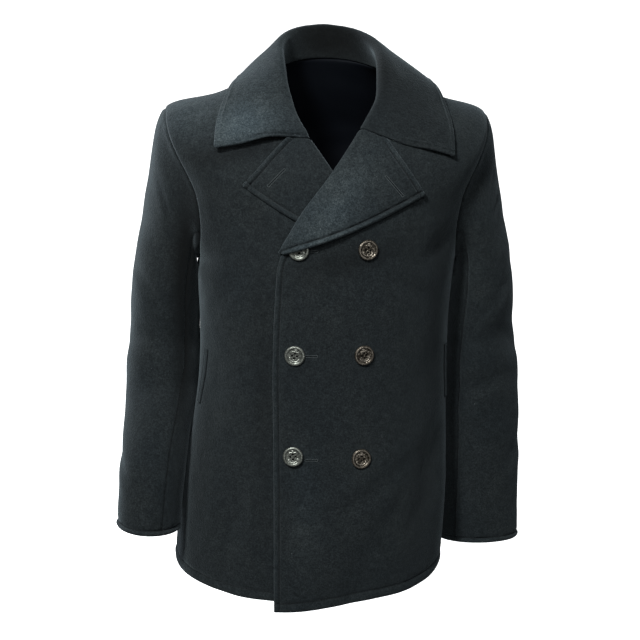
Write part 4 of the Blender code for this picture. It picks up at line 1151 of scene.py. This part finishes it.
# Stations from the middle of the back to an end: degrees round the neck's seam, the roll's top,
# the leaf's outer edge and how far the leaf swells out between them
Collar = namedtuple("Collar", "along seam roll_x roll_y roll_z edge_x edge_y edge_z swell")
COLLAR = (
    Collar(0.00, 180, 0.000, 0.079, 0.070, 0.000, 0.130, -0.034, 0.005),
    Collar(0.22, 140, 0.043, 0.065, 0.063, 0.078, 0.110, -0.029, 0.005),
    Collar(0.45, 95, 0.0695, 0.018, 0.042, 0.139, 0.032, -0.012, 0.003),
    Collar(0.60, 75, 0.0695, -0.025, 0.016, 0.153, -0.020, -0.0185, 0.003),
    Collar(0.80, 50, 0.0600, -0.080, -0.035, 0.168, -0.074, -0.062, 0.003),
    Collar(1.00, 23, 0.0425, -0.122, -0.082, 0.172, -0.118, -0.108, 0.002),
)
COLLAR_CENTRE = 0.012  # its ends sit this far to the wearer's left at the edge
ROLL_CENTRE = 0.004  # and at the roll
END_RISE = 0.006  # the left end of its roll is higher than the right one,
END_DROP = 0.0045  # its leaf lower
END_SAG = 0.004
END_FROM = 0.5
COLLAR_REST = 0.0062  # the leaf lies at least this far over the fronts and the back
REST_FROM = (0.010, 0.035)
NECK_GAP = 0.0010
GORGE_GAP = 0.0004  # between the collar's ends and the lapels' tops
GORGE_LENGTH = 0.27
GORGE_FROM = 0.92
ROLL_RADIUS = 0.0062
# The roll near an end: where it starts and how far in it reaches, and its first angle in degrees
Turn = namedtuple("Turn", "along start reach first")
COLLAR_TURNS = (
    Turn(0.70, 0.0010, 0.0130, -90), Turn(0.82, 0.0012, 0.0096, -90), Turn(0.90, 0.0034, 0.0074, -90),
    Turn(0.94, 0.0042, 0.0059, -62), Turn(0.97, 0.0040, 0.0046, -32), Turn(1.00, 0.0034, 0.0034, 0),
)
TURN_FROM = 0.66  # the collar's roll passes into its turns between these
TURN_FULL = 0.84
# Where the roll and the leaf start and end, counted in places along the cross-section
ROLL_FROM, ROLL_TOP, LEAF_FROM, LEAF_END = 2, 3, 4, 7
# Painted light on the leaf at the wearer's right, which faces the light, and painted shade on the leaf at
# the wearer's left and at the back of the roll
COLLAR_PAINTED_LIGHT = (
    PaintedLight(-0.138, -0.072, 12, 0.060, 0.026, 2.60),
    PaintedLight(-0.120, -0.010, 50, 0.070, 0.050, 0.80),
    PaintedLight(0.110, -0.020, -40, 0.090, 0.060, -0.38),
    PaintedLight(0.075, 0.010, 62, 0.060, 0.026, -0.30),
    PaintedLight(0.005, 0.050, 0, 0.070, 0.036, -0.88),
)
COLLAR_EDGE_LENGTH = 0.33
COLLAR_WIDTH = 0.17  # over the stand and leaf at the back
COLLAR_NARROW = 0.045  # where it is narrower than this, its edges take less of it
COLLAR_SPACING = 0.0032  # along it
COLLAR_CORNER = 0.0050
lapel_ends = {side: lapel_end(side) for side in (-1, 1)}


def collar_curve(side, along):
    """The places that a collar's cross-section runs through, at one place along it."""
    seam = np.radians(smooth(COLLAR, "seam", along)) * side
    neck = body(seam, NECK)
    into = unit(neck - body(seam, NECK - 10 * NUDGE))
    outward = np.array([side, 1, 1])
    roll = np.stack([smooth(COLLAR, f"roll_{axis}", along) for axis in "xyz"], -1) * outward
    edge = np.stack([smooth(COLLAR, f"edge_{axis}", along) for axis in "xyz"], -1) * outward
    roll[..., 0] += ROLL_CENTRE * fade(along, END_FROM, 1.0)
    edge[..., 0] += COLLAR_CENTRE * fade(along, END_FROM, 1.0)
    end = side * (1 - fade(along, END_FROM, 1.0))
    roll[..., 2] += END_RISE * end - SHOULDER_TILT * roll[..., 0]
    edge[..., 2] -= END_DROP * end + SHOULDER_TILT * edge[..., 0]
    return neck, into, roll, edge, smooth(COLLAR, "swell", along)


def rest_on_body(points, lift):
    """Points moved out, where they are less than lift over the body's front or back."""
    for back_side in (False, True):
        turn, height = on_body(points[:, 0], points[:, 2], back_side)
        normal = body_normal(turn, height)
        short = np.clip(np.sum((body(turn, height, lift) - points) * normal, -1), 0, 2 * lift)
        ahead = points[:, 1] if back_side else -points[:, 1]
        points = points + normal * (short * (1 - fade(ahead, *REST_FROM)))[:, None]
    return points


def curve_through(points, at):
    """A smooth curve through points, read at places counted in points from the first."""
    points = np.asarray(points)
    gaps = np.sqrt(np.linalg.norm(np.diff(points, axis=0), axis=1))
    knots = np.concatenate([[0], np.cumsum(gaps)])
    slope = np.gradient(points, knots, axis=0)
    i = np.clip(np.floor(at).astype(int), 0, len(points) - 2)
    span, f = gaps[i][:, None], (at - i)[:, None]
    return faired(points[i], points[i + 1], slope[i], slope[i + 1], span, f)


def collar_turn(along, parts):
    """The collar's fold near its ends: how far in and how far out it is."""
    start, reach = smooth(COLLAR_TURNS, "start", along), smooth(COLLAR_TURNS, "reach", along)
    first = math.radians(smooth(COLLAR_TURNS, "first", along))
    radius = COLLAR_REST / (1 - math.sin(first))
    straight = max(reach - radius + radius * math.cos(first) - start, 0)
    way = (straight + radius * (math.pi / 2 - first)) * parts
    angle = first + np.clip(way - straight, 0, None) / radius
    inward = np.where(way < straight, start + way, reach - radius + radius * np.cos(angle))
    return inward, radius * (np.sin(angle) - math.sin(first))


def collar_roll(neck, into, normal, roll, edge, at):
    """The collar's stand and the half circle of its roll, up to where the leaf starts."""
    foot = neck + into * NECK_GAP
    heel = neck + into * 5 * NECK_GAP + np.array([0, 0, NECK_GAP])
    down = unit(unit(foot - roll) + unit(edge - roll))
    apart = unit(normal - down * np.dot(normal, down))
    radius = min(ROLL_RADIUS, 0.45 * np.linalg.norm(heel - roll))
    centre = roll + down * radius
    stand = curve_through([foot, heel, centre - apart * radius, roll], np.minimum(at, ROLL_FROM))
    turn = math.pi * (at - ROLL_FROM) / (LEAF_FROM - ROLL_FROM)
    arc = np.outer(-np.cos(turn), apart) - np.outer(np.sin(turn), down)
    return np.where(turn[:, None] < 0, stand, centre + radius * arc)


def collar_section(side, along, at):
    """The collar's cross-section at one place along it, from its foot to its outer edge."""
    neck, into, roll, edge, swell = collar_curve(side, np.array(along))
    fold = at[at <= LEAF_FROM]
    normal = body_normal(np.radians(smooth(COLLAR, "seam", along)) * side, NECK)
    rolled = collar_roll(neck, into, normal, roll, edge, fold)
    inward, outward = collar_turn(along, fold / LEAF_FROM)
    turned = neck + np.outer(inward, into) + np.outer(outward, normal)
    turned = between(rolled, turned, 1 - fade(along, TURN_FROM, TURN_FULL))
    top, below = lapel_ends[side]
    end = top + unit(top - below) * (GORGE_GAP + (1 - along) * GORGE_LENGTH)
    turned = between(turned, curve_through(end, fold), 1 - fade(along, GORGE_FROM, 1.0))
    over = turned[-1]
    face = unit(np.cross(edge - over, np.cross(over - neck, edge - over)))
    sag = END_SAG * side * (1 - fade(along, END_FROM, 1.0)) * np.array([0, 0, 1])
    third = between(over, edge, 0.33) + face * swell - sag
    two_thirds = between(over, edge, 0.67) + face * swell
    before = curve_through(turned, np.array([0.75 * (len(turned) - 1)]))[0]
    leaf = curve_through([before, over, third, two_thirds, edge], at[at > LEAF_FROM] - ROLL_TOP)
    return np.concatenate([turned, rest_on_body(leaf, COLLAR_REST)])


half_way = spaced([COLLAR_EDGE_LENGTH], np.array((0.0, 0.0030)), SEWN_STEPS, COLLAR_SPACING)[0]
half_way = half_way / COLLAR_EDGE_LENGTH
stations = [(-1, along) for along in half_way[:0:-1]] + [(1, along) for along in half_way]
at = np.concatenate([np.linspace(0, LEAF_FROM, 81), np.linspace(LEAF_FROM, LEAF_END, 121)[1:]])
shares = spaced([COLLAR_WIDTH], SEAM_STEPS, SEWN_STEPS, 0.0026)[0] / COLLAR_WIDTH
low, high = shares[len(SEAM_STEPS) - 1], shares[-len(SEWN_STEPS)]
grid = []
for side, along in stations:
    line = collar_section(side, along, at)
    run = run_along(line)
    squeeze = min(1, run[-1] / COLLAR_NARROW)
    first, last = SEAM_STEPS * squeeze, run[-1] - SEWN_STEPS[::-1] * squeeze
    inner = (shares[len(SEAM_STEPS) : -len(SEWN_STEPS)] - low) / (high - low)
    wanted = np.concatenate([first, between(first[-1], last[0], inner), last])
    grid.append(np.stack([np.interp(wanted, run, line[:, k]) for k in range(3)], -1))
grid = np.array(grid)
near_end = np.arange(len(grid))
ease = fade(-np.minimum(near_end, near_end[::-1]), -40, -26)[:, None, None]
ease = 0.5 * ease * (1 - fade(np.arange(grid.shape[1]), 12, 24))[None, :, None]
for _ in range(24):
    grid[1:-1] += ease[1:-1] * ((grid[:-2] + grid[2:]) / 2 - grid[1:-1])
grid = rounded_corner(grid, COLLAR_CORNER, True, True)
grid = rounded_corner(grid, COLLAR_CORNER, False, True)
soft = 0.0007 * uneven(grid, 0.06, 91)
soft = soft * (1 - fade(np.arange(grid.shape[1]), 30, 45))[None, :]
grid = grid + facing_of(grid) * soft[..., None]
leaf_from = int(0.42 * grid.shape[1])
edges = [
    (grid[:, -1], TURNED), (grid[0, leaf_from:], TURNED), (grid[-1, leaf_from:], TURNED),
    (grid[0, : leaf_from + 1], SEAMED), (grid[-1, : leaf_from + 1], SEAMED), (grid[:, 0], HIDDEN),
]
collar, skin = cloth("collar_cloth", grid, DOUBLE, 1, edges, (WOOL,), None, 91, COLLAR_PAINTED_LIGHT)
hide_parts("collar")
sew(
    "collar_stitches",
    [
        along_edge(skin, 0, TURNED.sewn, False, 11, -11),
        along_edge(skin, 1, TURNED.sewn, True, leaf_from + 2, -11),
        along_edge(skin, 2, TURNED.sewn, True, leaf_from + 2, -11),
    ],
    STITCHES,
)


# ---------------------------------------------------------------- buttonholes
# Keyhole buttonholes, worked in pale twist: close purl stitches side by side round a slit, with a
# round eye at one end. One in each lapel, and one at each button of the row next to the edge.

PALE_THREAD = thread_material("pale_twist", (0.030, 0.037, 0.039), (0.085, 0.098, 0.102))
PURLS = stitch_tree(PALE_THREAD)
HOLE_WIDTH = 0.0028
EYE_RADIUS = 0.0019
# Name, the piece it is worked in, and its two ends seen from ahead, the eye last
BUTTONHOLES = (
    ("buttonhole_1", "front", (-0.0480, -0.2412), (-0.0302, -0.2416)),
    ("buttonhole_2", "front", (-0.0480, -0.3923), (-0.0304, -0.3927)),
    ("buttonhole_3", "front", (-0.0484, -0.5447), (-0.0305, -0.5452)),
    ("buttonhole_lapel_right", "lapel_right", (-0.0744, -0.1296), (-0.0985, -0.1527)),
    ("buttonhole_lapel_left", "lapel_left", (0.0672, -0.1391), (0.0922, -0.1683)),
)


def skin_tree(piece):
    """Finds the outermost face of a piece that shows at x, z from straight ahead."""
    def place(x, z):
        hit, where, normal, _ = piece.ray_cast(Vector((x, -0.6, z)), Vector((0, 1, 0)))
        if not hit:
            raise ValueError(f"{piece.name} is not ahead of {x}, {z}")
        return np.array(where), np.array(normal)
    return place


bpy.context.view_layer.update()
for name, ground, start, end in BUTTONHOLES:
    place = skin_tree(front_left if ground == "front" else lapels[ground])
    start, end = np.array(start), np.array(end)
    way = (end - start) / np.linalg.norm(end - start)  # towards the eye
    beside = np.array([-way[1], way[0]])
    eye = end - way * EYE_RADIUS
    half = HOLE_WIDTH / 2
    outline = [start + beside * half, eye - way * EYE_RADIUS + beside * half * 0.9]
    for turn in np.radians(np.linspace(135, -135, 12)):
        outline.append(eye + EYE_RADIUS * (way * math.cos(turn) + beside * math.sin(turn)))
    outline += [eye - way * EYE_RADIUS - beside * half * 0.9, start - beside * half]
    outline += [start - way * half * 0.6, start + beside * half]
    dense = []
    for p, q in zip(outline[:-1], outline[1:]):
        steps = max(int(np.linalg.norm(q - p) / 0.0006), 1)
        dense += [between(p, q, i / steps) for i in range(steps)]
    dense.append(outline[-1])
    line, ways = np.array([place(*p) for p in dense]).swapaxes(0, 1)
    sew(name, [(line + ways * 0.0001, ways)], PURLS, 0.00062, 0.00075, 0.0008)
    # The slit is a near-black line of lining cloth laid along it: painted shadow in the open slit
    slit = np.array([place(*between(start, eye, f)) for f in np.linspace(0, 1, 20)])
    cut = sew(name + "_cut", [tuple(slit.swapaxes(0, 1))], STITCHES, 0.0010, 0.0014, 0.0007)
    cut.data.materials.clear()
    cut.data.materials.append(LINING)


# ---------------------------------------------------------------- buttons
# Six moulded buttons with a wide raised rim, a plain anchor in low relief and four holes, sewn to
# the left front. Both rows are one kind of button: the row next to the edge is painted in paler, greyer
# metal like pewter for the light it catches, and the other row in darker, browner metal like bronze for
# its shade.

BUTTON_RADIUS = 0.0146
BUTTON_THICK = 0.0034
BUTTON_HOLE = 0.0013  # a hole's radius
BUTTON_HOLE_AT = 0.0036  # and its distance from the button's middle
BUTTON_GAP = 0.0005  # the button stands this far off the cloth
BUTTON_TURNS = (8, -11, 4)  # degrees that each button of a row is turned, from the top
BUTTONS_LEFT = ((0.0397, -0.2418), (0.0351, -0.3925), (0.0314, -0.5450))
BUTTONS_RIGHT = ((-0.0559, -0.2409), (-0.0619, -0.3913), (-0.0653, -0.5391))
ANCHOR_RELIEF = 0.00055  # the anchor stands up this much


def metal(name, dark, mid, pale, roughness):
    """Cast metal with a dulled, finely crackled skin that is worn bright on what stands up, and painted
    shade that darkens its sunk holes nearly to black.
    """
    cast = Surface(name)
    cast.set(Metallic=0.85, Roughness=roughness, Specular_IOR_Level=0.5)
    patina = cast.ramp(cast.noise(420, 5, 0.65), (0.32, dark), (0.70, pale), (0.50, mid))
    crackle = cast.texture("Voronoi", Scale=900)
    crackle.feature = "DISTANCE_TO_EDGE"
    lines = cast.ramp(crackle.outputs["Distance"], (0.0, (0.45, 0.45, 0.45)), (0.09, (1, 1, 1)))
    wear_and_hole_shade_here = cast.attribute("worn")
    high = cast.ramp(wear_and_hole_shade_here, (0.5, (0, 0, 0)), (1, (1, 1, 1)))
    # painted shade: the sunk holes are darkened nearly to black
    deep = cast.ramp(wear_and_hole_shade_here, (0.05, (0.02, 0.02, 0.02)), (0.5, (1, 1, 1)))
    colour = cast.mix("MULTIPLY", 1.0, patina, lines)
    bright = cast.mix("MULTIPLY", 1.0, (*pale, 1), lines)
    wear_and_hole_shade = cast.mix("MULTIPLY", 1.0, cast.mix("MIX", high, colour, bright), deep)
    cast.link(wear_and_hole_shade, cast.shader.inputs["Base Color"])
    grain = cast.bump(cast.noise(900, 4, 0.6), 0.35, 0.0002)
    cast.link(cast.bump(crackle.outputs["Distance"], 0.25, 0.0002, grain), cast.shader.inputs["Normal"])
    return cast.material


def anchor(x, y):
    """How far an anchor stands up, from 0 to 1, with its ring at the top."""
    r = BUTTON_RADIUS
    shank = fade(np.abs(x), 0.03 * r, 0.07 * r)
    shank = shank * fade(np.abs(np.abs(y) - 0.47 * r), 0.09 * r, 0.13 * r)
    ring = fade(np.abs(np.hypot(x, y - 0.60 * r) - 0.07 * r), 0.015 * r, 0.05 * r)
    stock = fade(np.abs(y - 0.42 * r), 0.02 * r, 0.06 * r) * fade(np.abs(x), 0.30 * r, 0.35 * r)
    bow = np.hypot(x, y + 0.02 * r)
    angle = np.degrees(np.arctan2(x, -(y + 0.02 * r)))
    arms = fade(np.abs(bow - 0.56 * r), 0.02 * r, 0.06 * r) * fade(np.abs(angle), 56, 61)
    fluke = np.hypot(np.abs(x) - 0.44 * r, 0.8 * (y + 0.30 * r))
    flukes = fade(fluke, 0.05 * r, 0.11 * r)
    return np.clip(np.maximum.reduce([shank, ring, stock, arms, flukes]), 0, 1)


def button_mesh(name):
    """A round of rings: its face with rim, anchor and holes, then its edge and plain back."""
    r, t = BUTTON_RADIUS, BUTTON_THICK
    radii = np.concatenate([
        np.linspace(0.0002, 0.0022, 6)[:-1], np.linspace(0.0022, 0.0050, 23)[:-1],
        np.linspace(0.0050, 0.66 * r, 16)[:-1], np.linspace(0.66 * r, 0.985 * r, 22),
    ])
    turns = np.linspace(0, 2 * math.pi, 88, endpoint=False)
    rr, tt = np.meshgrid(radii, turns, indexing="ij")
    x, y = rr * np.cos(tt), rr * np.sin(tt)
    falling = np.sqrt(np.clip(1 - (np.clip(rr / r - 0.86, 0, 1) / 0.14) ** 2, 0, 1))
    rim = (1 - fade(rr, 0.68 * r, 0.76 * r)) * falling
    dish = 0.66 * t + 0.04 * t * (rr / r) ** 2
    height = np.where(rr < 0.72 * r, dish + rim * 0.30 * t, 0.40 * t + 0.60 * t * rim)
    rising = between(dish, t, 1 - fade(rr, 0.68 * r, 0.79 * r))
    height = np.where((rr >= 0.68 * r) & (rr < 0.80 * r), rising, height)
    bead = 0.00012 * fade(np.abs(rr - 0.70 * r), 0.0001, 0.0004)
    raised = anchor(x, y)
    height = height + bead + ANCHOR_RELIEF * raised * fade(rr, 0.64 * r, 0.70 * r)
    sunk = 0
    for quarter in range(4):
        turn = quarter * math.pi / 2
        gap = np.hypot(x - BUTTON_HOLE_AT * math.cos(turn), y - BUTTON_HOLE_AT * math.sin(turn))
        sunk = np.maximum(sunk, fade(gap, 1.0 * BUTTON_HOLE, 1.25 * BUTTON_HOLE))
    height = height - sunk * (height - 0.1 * t)
    wear_and_hole_shade = np.clip(0.9 * raised + 0.40 * fade(np.abs(rr - 0.86 * r), 0.02 * r, 0.10 * r), 0, 1)
    # wear on the anchor and rim, and the sunk holes set to 0 as painted shade
    wear_and_hole_shade = 0.5 + 0.5 * (wear_and_hole_shade * (1 - sunk) - sunk)
    rings = list(np.stack([x, y, height], -1))
    wears = list(wear_and_hole_shade)
    for part, level in ((1, 0.34), (0.985, 0.18), (0.92, 0.05), (0.80, 0.0), (0.4, 0.0)):
        round_x, round_y = r * part * np.cos(turns), r * part * np.sin(turns)
        rings.append(np.stack([round_x, round_y, 0 * turns + level * t], -1))
        wears.append(0.6 + 0 * turns)
    count = len(turns)
    points = [tuple(p) for ring in rings for p in ring]
    points = [(0, 0, float(rings[0][:, 2].mean())), *points, (0, 0, 0)]
    faces = [(0, 1 + j, 1 + (j + 1) % count) for j in range(count)]
    for i in range(len(rings) - 1):
        base = 1 + i * count
        for j in range(count):
            k = (j + 1) % count
            faces.append((base + j, base + count + j, base + count + k, base + k))
    base, last = 1 + (len(rings) - 1) * count, len(points) - 1
    faces += [(base + (j + 1) % count, base + j, last) for j in range(count)]
    mesh = mesh_of(name, points, [], faces)
    # the worn value holds wear on the anchor and rim, and painted shade in the holes
    layer = mesh.attributes.new("worn", "FLOAT", "POINT")
    layer.data.foreach_set("value", np.concatenate([[0.5], *wears, [0.5]]).astype(np.float32))
    mesh.shade_smooth()
    return mesh


def over_front(x, z):
    """The left front's cloth at a place seen from ahead, and the way that it faces there."""
    reach = BUTTON_RADIUS / 2
    x = x + np.array([0, reach, -reach, 0, 0])
    z = z + np.array([0, 0, 0, reach, -reach])
    at = front_point(x, z, over_lift(x, z))
    return at[0], unit(np.cross(at[1] - at[2], at[3] - at[4]))


# Painted light: the same button in two finishes, paler and greyer for the row that catches the light,
# darker and browner for the row in shade
LIT_BUTTON_METAL = metal("lit_button_metal", (0.060, 0.065, 0.057), (0.150, 0.160, 0.142), (0.40, 0.42, 0.38), 0.42)
SHADED_BUTTON_METAL = metal("shaded_button_metal", (0.012, 0.010, 0.008), (0.042, 0.035, 0.025), (0.36, 0.32, 0.27), 0.40)
BUTTON_THREAD = thread_material("button_thread", (0.003, 0.004, 0.005), (0.008, 0.010, 0.012))
BUTTON_STITCHES = stitch_tree(BUTTON_THREAD)
for label, places, finish, way_round in (
    ("button_left", BUTTONS_LEFT, SHADED_BUTTON_METAL, -1), ("button_right", BUTTONS_RIGHT, LIT_BUTTON_METAL, 1),
):
    for number, (x, z) in enumerate(places, 1):
        base, outward = over_front(x, z)
        name = f"{label}_{number}"
        mesh = button_mesh(name + "_cast")
        stand = Matrix.Translation(Vector(base + outward * (MELTON / 2 + BUTTON_GAP)))
        turn = Vector(outward).to_track_quat("Z", "Y").to_matrix().to_4x4()
        spin = Matrix.Rotation(math.radians(BUTTON_TURNS[number - 1] * way_round), 4, "Z")
        sewn_on = stand @ turn @ spin
        mesh.transform(sewn_on)
        mesh.materials.append(finish)
        button = placed(name + "_cast", mesh)
        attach(button, "root")
        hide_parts(name)
        crossed = []
        for first in (0, math.pi / 2):
            hole = Vector((math.cos(first), math.sin(first), 0)) * BUTTON_HOLE_AT
            deep = Vector((0, 0, 0.10 * BUTTON_THICK))
            line = [sewn_on @ (hole.lerp(-hole, f) + deep) for f in np.linspace(0, 1, 9)]
            crossed.append((np.array(line), np.array([outward] * 9)))
        sew(name + "_thread", crossed, BUTTON_STITCHES, 0.0009, 0.0012, 0.0009)


# ---------------------------------------------------------------- floor, lights and camera
# A bright white floor that sweeps up behind, a large soft light in front, high on the left, a
# weaker one straight ahead, a faint one from below, one from behind, and an even, dim surround.

FLOOR = -1.05
BEND = 2.0  # radius of the sweep
sweep = [(-6.0, FLOOR)]
for t in np.linspace(0, math.pi / 2, 17):
    sweep.append((BEND + BEND * math.sin(t), FLOOR + BEND - BEND * math.cos(t)))
sweep.append((4.0, 6.0))
points = [(x, y, z) for y, z in sweep for x in (-7.0, 7.0)]
faces = [(2 * i, 2 * i + 1, 2 * i + 3, 2 * i + 2) for i in range(len(sweep) - 1)]
mesh = mesh_of("studio_floor", points, [], faces)
mesh.shade_smooth()
studio_floor = placed("studio_floor", mesh)
paper = Surface("paper")
paper.set(Base_Color=(0.92, 0.92, 0.92, 1), Roughness=0.95)
paper.set(Emission_Color=(1, 1, 1, 1), Emission_Strength=1.0)
mesh.materials.append(paper.material)
studio_floor.visible_diffuse = False
studio_floor.visible_glossy = False

world = bpy.data.worlds.new("studio")
world.use_nodes = True
surround = world.node_tree.nodes["Background"].inputs
surround["Color"].default_value = (0.97, 1.0, 1.04, 1)
surround["Strength"].default_value = 0.05
bpy.context.scene.world = world
bpy.context.scene.view_settings.view_transform = "Standard"

AIM = Vector((-0.010, 0.0, -0.372))
for name, place, size, power, tint in (
    ("key", (-1.25, -2.0, 1.75), 0.6, 122, (0.98, 1.0, 0.99)),
    ("front", (0.0, -2.4, 1.3), 0.9, 22, (0.98, 1.0, 0.99)),
    ("low", (0.5, -2.5, -0.5), 1.3, 8, (0.98, 1.0, 1.0)),
    ("rim", (-1.5, 1.5, 1.2), 1.3, 70, (0.95, 1.0, 1.04)),
):
    lamp = bpy.data.lights.new(name, "AREA")
    lamp.shape = "DISK"
    lamp.size = size
    lamp.energy = power
    lamp.color = tint
    light = placed(name, lamp)
    light.location = place
    light.rotation_euler = (AIM - light.location).to_track_quat("-Z", "Y").to_euler()

AZIMUTH, PITCH, DISTANCE = math.radians(-6), math.radians(11), 2.25
lens = bpy.data.cameras.new("camera")
lens.lens = 83
lens.sensor_width = 36
lens.sensor_fit = "HORIZONTAL"
camera = placed("camera", lens)
level = math.cos(PITCH)
ahead = Vector((-math.sin(AZIMUTH) * level, math.cos(AZIMUTH) * level, -math.sin(PITCH)))
camera.location = AIM - ahead * DISTANCE
camera.rotation_euler = ahead.to_track_quat("-Z", "Y").to_euler()
bpy.context.scene.camera = camera
